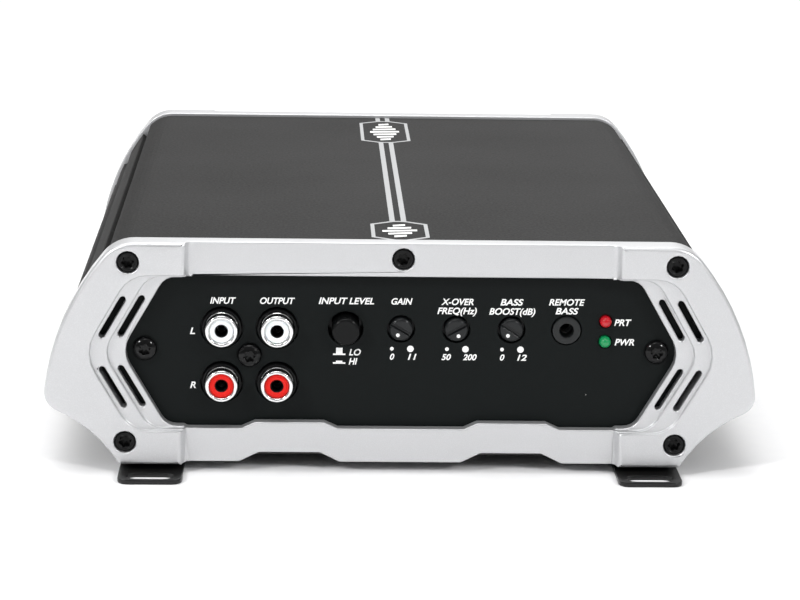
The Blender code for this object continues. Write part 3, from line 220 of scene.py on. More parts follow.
def paint(name, look):
    surface = Surface(name, look["constants"])
    flakes = surface.cells(look["flakeScale"])
    clouds = surface.noise(look["cloudScale"], 4.0)
    base = surface.blend(flakes * 0.7 + clouds * 0.3, look["colour"], look["flake"])
    if "dust" in look:
        chosen = surface.node("ShaderNodeSeparateColor", values={"Color": surface.cells(look["dustScale"], "Color")})
        speck = (surface.cells(look["dustScale"]) < look["dustSize"]) * (chosen > look["dustRarity"])
        base = surface.blend(speck, base, look["dust"])
    surface.drive("Base Color", base)
    surface.drive("Roughness", look["roughness"] + (clouds - 0.5) * look["spread"])
    surface.relief(surface.noise(look["peelScale"], 2.0), look["peelDepth"])
    return surface.material


powderLook = {
    "colour": (0.0030, 0.0029, 0.0028, 1), "grain": (0.0225, 0.0218, 0.0213, 1), "fineScale": 1500, "coarseScale": 900,
    "rubScale": 22, "roughness": 0.62, "spread": 0.12, "depth": 0.000040, "constants": {"Specular IOR Level": 0.13},
}


def powderCoat(name, look):
    surface = Surface(name, look["constants"])
    fine = surface.noise(look["fineScale"], 3.0)
    coarse = surface.cells(look["coarseScale"])
    rubbed = surface.noise(look["rubScale"], 3.0)
    grain = (fine - 0.5) * 2.4 + 0.42 + (rubbed - 0.5) * 0.25
    surface.drive("Base Color", surface.blend(grain, look["colour"], look["grain"]))
    surface.drive("Roughness", look["roughness"] + (rubbed - 0.5) * look["spread"])
    surface.relief(fine * 0.6 + coarse * 0.4, look["depth"])
    return surface.material


metalLook = {
    "chrome": {
        "colour": (0.90, 0.90, 0.90, 1), "worn": (0.80, 0.80, 0.80, 1), "roughness": 0.16, "spread": 0.06,
        "grain": (900, 900, 60), "depth": 0.0000005,
    },
    "blackOxide": {
        "colour": (0.0025, 0.0025, 0.0027, 1), "worn": (0.0060, 0.0060, 0.0063, 1), "roughness": 0.40,
        "spread": 0.12,
        "grain": (1400, 1400, 1400), "depth": 0.000002,
        "constants": {"Specular IOR Level": 0.08, "Coat Weight": 0.22, "Coat Roughness": 0.10},
    },
    "blackGloss": {
        "colour": (0.0020, 0.0020, 0.0022, 1), "worn": (0.0050, 0.0050, 0.0053, 1), "roughness": 0.35,
        "spread": 0.12,
        "grain": (1400, 1400, 1400), "depth": 0.000001,
        "constants": {"Specular IOR Level": 0.04, "Coat Weight": 0.45, "Coat Roughness": 0.04},
    },
    "brass": {
        "colour": (0.74, 0.55, 0.24, 1), "worn": (0.56, 0.40, 0.17, 1), "roughness": 0.28, "spread": 0.20,
        "grain": (700, 2600, 700), "depth": 0.000004,
    },
    "tinPlate": {
        "colour": (0.62, 0.62, 0.61, 1), "worn": (0.42, 0.42, 0.41, 1), "roughness": 0.30, "spread": 0.20,
        "grain": (900, 900, 2400), "depth": 0.000004,
    },
    "copperWire": {
        "colour": (0.60, 0.25, 0.10, 1), "worn": (0.36, 0.13, 0.05, 1), "roughness": 0.26, "spread": 0.14,
        "grain": (500, 500, 500), "depth": 0.000010,
    },
}


def bareMetal(name, look):
    surface = Surface(name, look.get("constants", {"Metallic": 1.0}))
    grain = surface.noise(1.0, 3.0, surface.stretched(look["grain"]))
    worn = surface.noise(160, 4.0)
    surface.drive("Base Color", surface.blend(worn * 0.7, look["colour"], look["worn"]))
    surface.drive("Roughness", look["roughness"] + (grain - 0.5) * look["spread"])
    surface.relief(grain, look["depth"])
    return surface.material


# the lenses glow faintly through their emission although the LEDs are not lit: painted glow
lensGlossAndPaintedGlow = {"Specular IOR Level": 0.10, "Coat Weight": 1.0, "Coat Roughness": 0.03, "Emission Strength": 0.06}
plasticLook = {
    "blackPlastic": {
        "colour": (0.0022, 0.0024, 0.0025, 1), "pale": (0.0048, 0.0051, 0.0054, 1), "roughness": 0.45,
        "spread": 0.12,
        "sparkScale": 2600, "depth": 0.000004,
        "constants": {"Specular IOR Level": 0.06, "Coat Weight": 0.20, "Coat Roughness": 0.08},
    },
    "knobPlastic": {
        "colour": (0.0055, 0.0064, 0.0070, 1), "pale": (0.0095, 0.0108, 0.0116, 1), "roughness": 0.36,
        "spread": 0.12,
        "sparkScale": 2600, "depth": 0.000004,
        "constants": {"Specular IOR Level": 0.16, "Coat Weight": 0.30, "Coat Roughness": 0.08},
    },
    "greyPlastic": {
        "colour": (0.0060, 0.0072, 0.0074, 1), "pale": (0.012, 0.0135, 0.014, 1), "roughness": 0.34,
        "spread": 0.12,
        "sparkScale": 2600, "depth": 0.000004, "constants": {"Specular IOR Level": 0.35},
    },
    "whiteNylon": {
        "colour": (0.92, 0.92, 0.90, 1), "pale": (0.96, 0.96, 0.95, 1), "roughness": 0.30, "spread": 0.10,
        "sparkScale": 1700, "depth": 0.000006, "constants": {"Subsurface Weight": 0.15},
    },
    "redNylon": {
        "colour": (0.62, 0.010, 0.007, 1), "pale": (0.74, 0.018, 0.012, 1), "roughness": 0.34, "spread": 0.10,
        "sparkScale": 1700, "depth": 0.000004, "constants": {"Specular IOR Level": 0.20},
    },
    "fuseAmber": {
        "colour": (0.80, 0.33, 0.02, 1), "pale": (0.90, 0.46, 0.05, 1), "roughness": 0.16, "spread": 0.10,
        "sparkScale": 300, "depth": 0.000004, "constants": {"Coat Weight": 0.5, "Subsurface Weight": 0.3},
    },
    "boardGreen": {
        "colour": (0.006, 0.070, 0.022, 1), "pale": (0.012, 0.120, 0.040, 1), "roughness": 0.42, "spread": 0.12,
        "sparkScale": 420, "depth": 0.000010, "constants": {"Coat Weight": 0.3},
    },
    "sleeveBlue": {
        "colour": (0.010, 0.014, 0.060, 1), "pale": (0.016, 0.022, 0.090, 1), "roughness": 0.30, "spread": 0.10,
        "sparkScale": 260, "depth": 0.000006, "constants": {"Coat Weight": 0.4},
    },
    "printWhite": {
        "colour": (0.84, 0.84, 0.83, 1), "pale": (0.92, 0.92, 0.91, 1), "roughness": 0.46, "spread": 0.14,
        "sparkScale": 2400, "depth": 0.000002, "constants": {},
    },
    "stripeGrey": {
        "colour": (0.36, 0.365, 0.37, 1), "pale": (0.43, 0.435, 0.44, 1), "roughness": 0.48, "spread": 0.12,
        "sparkScale": 2400, "depth": 0.000006, "constants": {},
    },
    # the red and green lenses carry a painted glow through their emission colour
    "redLens": {
        "colour": (0.30, 0.002, 0.007, 1), "pale": (0.58, 0.010, 0.020, 1), "roughness": 0.20, "spread": 0.06,
        "sparkScale": 700, "depth": 0.000004,
        "constants": {"Emission Color": (0.9, 0.02, 0.03, 1), **lensGlossAndPaintedGlow},
    },
    "greenLens": {
        "colour": (0.002, 0.16, 0.045, 1), "pale": (0.006, 0.31, 0.10, 1), "roughness": 0.20, "spread": 0.06,
        "sparkScale": 700, "depth": 0.000004,
        "constants": {"Emission Color": (0.01, 0.6, 0.2, 1), **lensGlossAndPaintedGlow},
    },
}


def plastic(name, look):
    surface = Surface(name, look["constants"])
    spark = surface.noise(look["sparkScale"], 3.0)
    flow = surface.noise(90, 3.0)
    surface.drive("Base Color", surface.blend(spark * 0.5 + flow * 0.5, look["colour"], look["pale"]))
    surface.drive("Roughness", look["roughness"] + (flow - 0.5) * look["spread"])
    surface.relief(spark, look["depth"])
    return surface.material


def makeFinishes():
    made = {name: paint(name, look) for name, look in paintLook.items()}
    made.update({name: bareMetal(name, look) for name, look in metalLook.items()})
    made.update({name: plastic(name, look) for name, look in plasticLook.items()})
    made["powderCoat"] = powderCoat("powderCoat", powderLook)
    return made


# Shared shaping

def solidOf(node):  # a CAD node's solid, its loose triangles merged into flat faces
    solid = bmesh.new()
    solid.from_mesh(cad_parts[node].data)
    bmesh.ops.remove_doubles(solid, verts=solid.verts, dist=0.000002)
    bmesh.ops.dissolve_limit(solid, angle_limit=math.radians(0.5), verts=solid.verts, edges=solid.edges)
    return solid


def softenEdges(solid, width, steps=2, fold=25, chosen=None):
    if chosen is None:
        bmesh.ops.triangulate(solid, faces=solid.faces, ngon_method="BEAUTY")
    edges = []
    for edge in solid.edges:
        if len(edge.link_faces) == 2 and edge.calc_face_angle() > math.radians(fold):
            if chosen is None or chosen(edge):
                edges.append(edge)
    bmesh.ops.bevel(solid, geom=edges, offset=width, segments=steps, profile=0.5, affect="EDGES",
                    clamp_overlap=False, loop_slide=False)


def turnedSolid(profile, steps=48):  # a profile of (radius, height, wave) points spun round +Z
    solid = bmesh.new()
    rings = []
    for radius, height, *wave in profile:
        lobes = wave[0] if wave else 0.0
        ring = []
        for step in range(steps):
            angle = math.tau * step / steps
            reach = radius * (1 + lobes * math.cos(6 * angle))
            ring.append(solid.verts.new((reach * math.cos(angle), reach * math.sin(angle), height)))
        rings.append(ring)
    for low, high in zip(rings, rings[1:]):
        for step in range(steps):
            solid.faces.new((low[step - 1], low[step], high[step], high[step - 1]))
    bmesh.ops.remove_doubles(solid, verts=solid.verts, dist=0.0000005)
    bmesh.ops.recalc_face_normals(solid, faces=solid.faces)
    return solid


def curl(centre, radius, start, end, steps):  # profile points along an arc
    angles = [math.radians(start + (end - start) * step / steps) for step in range(steps + 1)]
    return [(centre[0] + radius * math.cos(angle), centre[1] + radius * math.sin(angle)) for angle in angles]


def addPlate(solid, outline, rise):  # a thin plate over an outline of points
    base = [solid.verts.new(point) for point in outline]
    top = [solid.verts.new(Vector(point) + Vector(rise)) for point in outline]
    solid.faces.new(base[::-1])
    solid.faces.new(top)
    for index in range(len(base)):
        solid.faces.new((base[index - 1], base[index], top[index], top[index - 1]))


def addFrame(solid, outer, inner, rise):  # a flat band between two outlines of as many points
    rise = Vector(rise)
    loops = []
    for loop, shift in ((outer, rise * 0), (outer, rise), (inner, rise * 0), (inner, rise)):
        loops.append([solid.verts.new(Vector(point) + shift) for point in loop])
    outerLow, outerHigh, innerLow, innerHigh = loops
    sides = ((outerLow, outerHigh), (outerHigh, innerHigh), (innerHigh, innerLow), (innerLow, outerLow))
    for index in range(len(outer)):
        for first, second in sides:
            solid.faces.new((first[index - 1], first[index], second[index], second[index - 1]))


def meshOf(name, solid, fold=32):
    mesh = bpy.data.meshes.new(name)
    bmesh.ops.recalc_face_normals(solid, faces=solid.faces)
    solid.to_mesh(mesh)
    solid.free()
    mesh.shade_smooth()
    mesh.set_sharp_from_angle(angle=math.radians(fold))
    return mesh


def settled(piece):  # the piece's mesh as its modifiers leave it
    bpy.context.view_layer.update()
    mesh = bpy.data.meshes.new_from_object(piece.evaluated_get(bpy.context.evaluated_depsgraph_get()))
    piece.modifiers.clear()
    piece.data = mesh


def addPiece(name, mesh, body, finishNames, nodes=(), flatten=True):
    mesh.materials.clear()
    for finishName in finishNames:
        mesh.materials.append(finishes[finishName])
    piece = bpy.data.objects.new(name, mesh)
    scene.collection.objects.link(piece)
    if flatten:
        even = piece.modifiers.new("even shading", "WEIGHTED_NORMAL")
        even.keep_sharp = True
        settled(piece)
    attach(piece, body)
    if nodes:
        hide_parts(*nodes)
    return piece


# Geometry node trees

def newGeometryTree(name, inputs):
    tree = bpy.data.node_groups.new(name, "GeometryNodeTree")
    tree.interface.new_socket("Geometry", in_out="INPUT", socket_type="NodeSocketGeometry")
    tree.interface.new_socket("Geometry", in_out="OUTPUT", socket_type="NodeSocketGeometry")
    sockets = {}
    for label, kind in inputs.items():
        sockets[label] = tree.interface.new_socket(label, in_out="INPUT", socket_type=kind).identifier
    board = Board(tree)
    entry = tree.nodes.new("NodeGroupInput")
    exits = tree.nodes.new("NodeGroupOutput")
    wires = {label: Wire(board, entry.outputs[label]) for label in ["Geometry", *inputs]}
    return tree, board, wires, exits, sockets


def repeatTree():  # one piece set on every point, each turned about its axis by a random part of Turn
    inputs = {"Piece": "NodeSocketObject", "Size": "NodeSocketFloat", "Axis": "NodeSocketVector",
              "Turn": "NodeSocketFloat", "Seed": "NodeSocketInt", "Finish": "NodeSocketMaterial"}
    tree, board, wires, exits, sockets = newGeometryTree("repeatPiece", inputs)
    values = {"Object": wires["Piece"]}
    piece = board.node("GeometryNodeObjectInfo", {"transform_space": "ORIGINAL"}, values, "Geometry")
    values = {"Min": 0.0, "Max": wires["Turn"], "Seed": wires["Seed"]}
    turn = board.node("FunctionNodeRandomValue", {"data_type": "FLOAT"}, values, 1)
    spin = board.node("FunctionNodeAxisAngleToRotation", values={"Axis": wires["Axis"], "Angle": turn})
    values = {"Points": wires["Geometry"], "Instance": piece, "Rotation": spin, "Scale": wires["Size"]}
    placed = board.node("GeometryNodeInstanceOnPoints", values=values)
    real = board.node("GeometryNodeRealizeInstances", values={"Geometry": placed})
    finished = board.node("GeometryNodeSetMaterial", values={"Geometry": real, "Material": wires["Finish"]})
    tree.links.new(finished.socket, exits.inputs[0])
    return tree, sockets


def extrusionTree():  # closed outlines with rounded corners, filled and drawn out along Y
    inputs = {"Length": "NodeSocketFloat", "Corner": "NodeSocketFloat", "Corner steps": "NodeSocketInt",
              "Finish": "NodeSocketMaterial"}
    tree, board, wires, exits, sockets = newGeometryTree("drawExtrusion", inputs)
    curve = board.node("GeometryNodeMeshToCurve", values={"Mesh": wires["Geometry"]})
    values = {"Curve": curve, "Count": wires["Corner steps"], "Radius": wires["Corner"], "Limit Radius": True}
    rounded = board.node("GeometryNodeFilletCurve", {"mode": "POLY"}, values)
    face = board.node("GeometryNodeFillCurve", {"mode": "NGONS"}, {"Curve": rounded})
    along = board.node("ShaderNodeCombineXYZ", values={"Z": wires["Length"]})
    values = {"Mesh": face, "Offset": along, "Offset Scale": 1.0, "Individual": False}
    drawn = board.node("GeometryNodeExtrudeMesh", values=values)
    back = board.node("GeometryNodeFlipFaces", values={"Mesh": face})
    both = board.tree.nodes.new("GeometryNodeJoinGeometry")
    for part in (back, drawn):
        board.tree.links.new(part.socket, both.inputs[0])
    values = {"Geometry": Wire(board, both.outputs[0]), "Distance": 0.000002}
    closed = board.node("GeometryNodeMergeByDistance", values=values)
    middle = board.node("ShaderNodeCombineXYZ", values={"Y": wires["Length"] * 0.5})
    values = {"Geometry": closed, "Translation": middle, "Rotation": (math.radians(90), 0, 0)}
    laid = board.node("GeometryNodeTransform", values=values)
    real = board.node("GeometryNodeRealizeInstances", values={"Geometry": laid})
    finished = board.node("GeometryNodeSetMaterial", values={"Geometry": real, "Material": wires["Finish"]})
    tree.links.new(finished.socket, exits.inputs[0])
    return tree, sockets


def grown(name, start, tree, sockets, values):  # the plain mesh that a geometry tree makes from a starting mesh
    holder = bpy.data.objects.new(name, start)
    scene.collection.objects.link(holder)
    maker = holder.modifiers.new("maker", "NODES")
    maker.node_group = tree
    for label, value in values.items():
        maker[sockets[label]] = value
    settled(holder)
    mesh = holder.data
    bpy.data.objects.remove(holder)
    return mesh


def repeated(name, solid, places, axis, turn, seed, finishName, fold=32):
    master = bpy.data.objects.new(name + "Master", meshOf(name, solid, fold))
    points = bpy.data.meshes.new(name)
    points.from_pydata([tuple(place) for place in places], [], [])
    values = {"Piece": master, "Size": 1.0, "Axis": axis, "Turn": turn, "Seed": seed,
              "Finish": finishes[finishName]}
    mesh = grown(name, points, repeatPiece, repeatSockets, values)
    mesh.set_sharp_from_angle(angle=math.radians(fold))
    bpy.data.objects.remove(master)
    return mesh


# End caps

ventLook = {"x": (0.0727, 0.0681), "axisZ": 0.0318, "aboveAxis": 0.0091, "length": 0.0123, "width": 0.0016,
            "tilt": 60, "margin": 0.0001}
capLook = {"edge": 0.00038, "edgeSteps": 3, "ridge": 0.0007, "hollow": 0.0010, "ridgeSteps": 4,
           "ridgeX": (0.0525, 0.0570), "ridgeY": 0.0915, "ridgeLength": 0.004}


def upTheRidge(edge, convex):  # the upright edges where the corner blocks step back
    first, second = (vertex.co for vertex in edge.verts)
    middle = (first + second) / 2
    low, high = capLook["ridgeX"]
    steep = abs((second - first).normalized().z) > 0.95
    long = (second - first).length > capLook["ridgeLength"]
    outside = low < abs(middle.x) < high and abs(middle.y) > capLook["ridgeY"]
    return steep and long and outside and edge.is_convex == convex


def ventWallGetsPaintedShade(face):  # the walls of the vents get the black finish: painted shade in the deep slots
    tilt = math.radians(ventLook["tilt"])
    x, z = abs(face.center.x), abs(face.center.z - ventLook["axisZ"])
    for ventX in ventLook["x"]:
        aside, above = x - ventX, z - ventLook["aboveAxis"]
        along = -aside * math.cos(tilt) + above * math.sin(tilt)
        across = aside * math.sin(tilt) + above * math.cos(tilt)
        margin = ventLook["margin"]
        if abs(along) < ventLook["length"] / 2 + margin and abs(across) < ventLook["width"] / 2 + margin:
            return abs(face.normal.y) < 0.3
    return False


def endCap(name, node):
    solid = solidOf(node)
    softenEdges(solid, capLook["ridge"], capLook["ridgeSteps"], 30, lambda edge: upTheRidge(edge, True))
    softenEdges(solid, capLook["hollow"], capLook["ridgeSteps"], 30, lambda edge: upTheRidge(edge, False))
    softenEdges(solid, capLook["edge"], capLook["edgeSteps"], 25)
    mesh = meshOf(name, solid)
    # the vent walls take the black finish as painted shade; the cap's silver paint covers them too
    for face in mesh.polygons:
        face.material_index = 1 if ventWallGetsPaintedShade(face) else 0
    addPiece(name, mesh, "case", ["silver", "black"], [node])


# Body extrusion

bodyLook = {"corner": 0.00030, "cornerSteps": 3}


def sectionOutline(node):  # the outlines of a node's front end, laid in the XY plane
    solid = solidOf(node)
    low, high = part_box(node)
    ends = {face for face in solid.faces if face.normal.y < -0.99 and face.calc_center_median().y < low.y + 0.0001}
    edges = [edge for edge in solid.edges if sum(face in ends for face in edge.link_faces) == 1]
    vertices = list({vertex for edge in edges for vertex in edge.verts})
    order = {vertex: index for index, vertex in enumerate(vertices)}
    mesh = bpy.data.meshes.new(node + "Outline")
    points = [(vertex.co.x, vertex.co.z, 0) for vertex in vertices]
    mesh.from_pydata(points, [tuple(order[vertex] for vertex in edge.verts) for edge in edges], [])
    solid.free()
    return mesh, high.y - low.y


def coolingBody():
    outline, length = sectionOutline("heatsink")
    values = {"Length": length, "Corner": bodyLook["corner"], "Corner steps": bodyLook["cornerSteps"],
              "Finish": finishes["powderCoat"]}
    mesh = grown("coolingBody", outline, drawExtrusion, extrusionSockets, values)
    mesh.shade_smooth()
    mesh.set_sharp_from_angle(angle=math.radians(40))
    addPiece("coolingBody", mesh, "case", ["powderCoat"], ["heatsink"])


# Sheet and moulded parts that keep their shape and get fine edges

panelSheet = {"edge": 0.00012, "slot": "black_panel", "finish": "black"}
footSheet = {"edge": 0.00025, "slot": "black_steel", "finish": "footBlack"}
moulded = {"edge": 0.00030, "slot": "black_plastic", "finish": "blackPlastic"}
softened = {
    "controlPanel": {"node": "front_panel", **panelSheet},
    "wiringPanel": {"node": "rear_panel", **panelSheet},
    "baseCover": {"node": "bottom_cover", "edge": 0.00015, "slot": "black_steel", "finish": "footBlack"},
    "footFrontLeft": {"node": "foot_front_left", **footSheet},
    "footFrontRight": {"node": "foot_front_right", **footSheet},
    "footRearLeft": {"node": "foot_rear_left", **footSheet},
    "footRearRight": {"node": "foot_rear_right", **footSheet},
    "jackBlock": {"node": "jack_housing", **moulded, "edge": 0.00018},
    "powerTerminals": {"node": "power_terminal_block", **moulded},
    "speakerTerminals": {"node": "speaker_terminal_block", **moulded},
    "fuseSocket": {"node": "fuse_holder", **moulded},
    "remoteSocket": {"node": "remote_jack", "edge": 0.00032, "slot": "black_plastic", "finish": "greyPlastic"},
}


def softenedParts():
    for name, look in softened.items():
        solid = solidOf(look["node"])
        softenEdges(solid, look["edge"], 2, 28)
        addPiece(name, meshOf(name, solid), "case", [look["finish"]], [look["node"]])


# Screws

screwLook = {
    "cap": {"head": 0.00255, "height": 0.0025, "edge": 0.00030, "socket": 0.00138, "lobes": 0.13, "depth": 0.0022},
    "panel": {"head": 0.0031, "height": 0.0019, "socket": 0.00130, "lobes": 0.15, "depth": 0.0016,
              "crown": 0.93, "flange": 0.0002, "domeStart": 28, "domeSteps": 8},
    "foot": {"head": 0.0035, "height": 0.0013, "edge": 0.00035, "socket": 0.00150, "lobes": 0.15, "depth": 0.0009},
    "groove": 0.00004, "sides": 60,
}


def socketProfile(look, top):  # a six-lobed socket with a rounded mouth
    radius, lobes = look["socket"], look["lobes"]
    return [(0, top - look["depth"], 0), (radius * 0.55, top - look["depth"] * 0.97, lobes * 0.5),
            (radius * 0.97, top - look["depth"] * 0.88, lobes), (radius, top - 0.00016, lobes),
            (radius * 1.05, top - 0.00004, lobes), (radius * 1.12, top, lobes * 0.8)]


def flatHead(look):
    head, height, edge = look["head"], look["height"], look["edge"]
    rim = [(head * 0.70, height), (head * 0.72, height - screwLook["groove"]), (head * 0.745, height)]
    side = curl((head - edge, height - edge), edge, 90, 0, 4)
    return turnedSolid(socketProfile(look, height) + rim + side + [(head, 0.0), (0, 0.0)], screwLook["sides"])


def domedHead(look):
    head, height, flange = look["head"], look["height"], look["flange"]
    start, steps = look["domeStart"], look["domeSteps"]
    dome = []
    for step in range(steps + 1):
        angle = math.radians(start + (90 - start) * step / steps)
        dome.append((head * math.sin(angle) ** 0.92, flange + (height - flange) * math.cos(angle) ** 0.85))
    under = [(head, flange), (head, 0.0), (0, 0.0)]
    return turnedSolid(socketProfile(look, height * look["crown"]) + dome + under, screwLook["sides"])


def screwPlaces(nodes, end, height):  # the undersides of the heads, measured back from their tops
    places = []
    for node in nodes:
        low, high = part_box(node)
        tip = low.y if end == front else high.y
        places.append((middleOf(node).x, tip - end * height, middleOf(node).z))
    return places


def addScrews():
    corners = ("top_left", "top_right", "base_left", "base_right", "top_middle")
    for endName, end, turn, seed in (("front", front, towardsFront, 3), ("rear", rear, towardsRear, 5)):
        nodes = [f"{endName}_cap_screw_{corner}" for corner in corners]
        places = screwPlaces(nodes, end, screwLook["cap"]["height"])
        head = flatHead(screwLook["cap"])
        head.transform(turn)
        mesh = repeated(f"{endName}CapScrews", head, places, (0, 1, 0), 1.0, seed, "blackOxide", 28)
        addPiece(f"{endName}CapScrews", mesh, "case", ["blackOxide"], nodes)

        nodes = [f"{endName}_panel_screw_{side}" for side in ("left", "right")]
        nodes += ["jack_screw"] if end == front else []
        places = screwPlaces(nodes, end, screwLook["panel"]["height"])
        head = domedHead(screwLook["panel"])
        head.transform(turn)
        mesh = repeated(f"{endName}PanelScrews", head, places, (0, 1, 0), 1.0, seed + 1, "blackGloss", 28)
        addPiece(f"{endName}PanelScrews", mesh, "case", ["blackGloss"], nodes)

    nodes = [f"foot_screw_{place}" for place in ("front_left", "front_right", "rear_left", "rear_right")]
    height = screwLook["foot"]["height"]
    places = [(middleOf(node).x, middleOf(node).y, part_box(node)[0].z + height) for node in nodes]
    head = flatHead(screwLook["foot"])
    head.transform(towardsFloor)
    mesh = repeated("footScrews", head, places, (0, 0, 1), 1.0, 11, "blackOxide", 28)
    addPiece("footScrews", mesh, "case", ["blackOxide"], nodes)


# Phono jacks

jackLook = {
    "plug": 0.00306, "gap": 0.00006, "groove": 0.00012, "rim": (0.80, 0.83, 0.86), "plugRound": 0.00025,
    "band": ((0.0, 0.0030), (0.00010, 0.0031), (0.00010, 0.0034), (0.0, 0.0035)),
    "hole": 0.00166, "holeDepth": 0.0080, "holeRound": 0.00035,
    "boreShadeDepth": 0.0075, "boreShadeWall": 0.0002, "boreShadeMouth": (0.0004, 0.00022),
    "spring": 0.00115, "springWall": 0.00015, "springMouth": (0.0034, 0.0032),
}
sleeveEnd = 0.0070


def contactSleeve(radius, wall, mouth, steps):  # a spring contact, its mouth given as (inner, outer) depths
    inner = radius - wall
    ring = [(inner, -sleeveEnd), (inner, -mouth[0]), (radius, -mouth[1]), (radius, -sleeveEnd)]
    return turnedSolid(ring + [(inner, -sleeveEnd)], steps)


def phonoJacks():
    names = ("in_left", "out_left", "in_right", "out_right")
    nodes = [f"jack_shell_{name}" for name in names]
    low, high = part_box(nodes[0])
    outer, depth = (high.x - low.x) / 2, high.y - low.y
    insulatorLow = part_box("jack_insulator_in_left")[0]
    plug = jackLook["plug"]
    sunk = insulatorLow.y - low.y
    bore = plug + jackLook["gap"]
    lip = (outer - bore) / 2
    ring = [(bore, -depth)] + curl((bore + lip, -lip), lip, 180, 0, 12)
    ring += [(outer - inset, -back) for inset, back in jackLook["band"]] + [(outer, -depth), (bore, -depth)]
    shell = turnedSolid(ring, 64)
    shell.transform(towardsFront)
    places = [(middleOf(node).x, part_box(node)[0].y, middleOf(node).z) for node in nodes]
    mesh = repeated("jackShells", shell, places, (0, 1, 0), 0.0, 1, "chrome", 40)
    addPiece("jackShells", mesh, "case", ["chrome"], nodes)

    contact, holeDepth, mouth = jackLook["hole"], jackLook["holeDepth"], jackLook["holeRound"]
    innerRim, groove, outerRim = (plug * share for share in jackLook["rim"])
    corner = jackLook["plugRound"]
    for row, finishName, slot in (("left", "whiteNylon", "white_plastic"), ("right", "redNylon", "red_plastic")):
        nodes = [f"jack_insulator_{side}_{row}" for side in ("in", "out")]
        profile = [(0, -holeDepth), (contact, -holeDepth), (contact, -mouth)]
        profile += curl((contact + mouth, -mouth), mouth, 180, 90, 4)
        profile += [(innerRim, 0.0), (groove, -jackLook["groove"]), (outerRim, 0.0)]
        profile += curl((plug - corner, -corner), corner, 90, 0, 3) + [(plug, -depth + sunk), (0, -depth + sunk)]
        core = turnedSolid(profile, 56)
        core.transform(towardsFront)
        places = [(middleOf(node).x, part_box(node)[0].y, middleOf(node).z) for node in nodes]
        mesh = repeated(f"jackCores{row.title()}", core, places, (0, 1, 0), 0.0, 1, finishName, 40)
        addPiece(f"jackCores{row.title()}", mesh, "case", [finishName], nodes)

    # a black cup lining each insulator bore: painted shade in the deep holes, not a part of the jack
    hole, depth, wall = contact - 0.00001, jackLook["boreShadeDepth"], jackLook["boreShadeWall"]
    innerMouth, outerMouth = jackLook["boreShadeMouth"]
    middles = [middleOf(f"jack_insulator_{name}") for name in names]
    places = [(middle.x, insulatorLow.y, middle.z) for middle in middles]
    cup = [(0, -depth), (hole - wall, -depth), (hole - wall, -innerMouth), (hole, -outerMouth)]
    boreShadeCup = turnedSolid(cup + [(hole, -depth - wall), (0, -depth - wall)], 40)
    boreShadeCup.transform(towardsFront)
    mesh = repeated("jackLiners", boreShadeCup, places, (0, 1, 0), 0.0, 1, "blackPlastic", 40)
    addPiece("jackLiners", mesh, "case", ["blackPlastic"])
    sleeve = contactSleeve(jackLook["spring"], jackLook["springWall"], jackLook["springMouth"], 32)
    sleeve.transform(towardsFront)
    mesh = repeated("jackContacts", sleeve, places, (0, 1, 0), 0.0, 1, "tinPlate", 40)
    addPiece("jackContacts", mesh, "case", ["tinPlate"])


# Controls

controlLook = {
    "dot": 0.00048, "dotReach": 0.00160, "dots": {"gain": -31, "xover": 20, "bass": -35},
    "dotRise": 0.00004, "knobEdge": 0.00020, "shade": 0.00030,
    "buttonEdge": 0.0008, "buttonDish": 0.00012, "buttonSide": (0.0030, 0.0060), "buttonStem": 0.0015,
    "remoteBore": 0.00150, "remoteWall": 0.00022, "remoteMouth": (0.0036, 0.0034),
    "lampRadius": 0.0015, "lampDepth": 0.0048, "lampBelowTop": 0.0019,
}


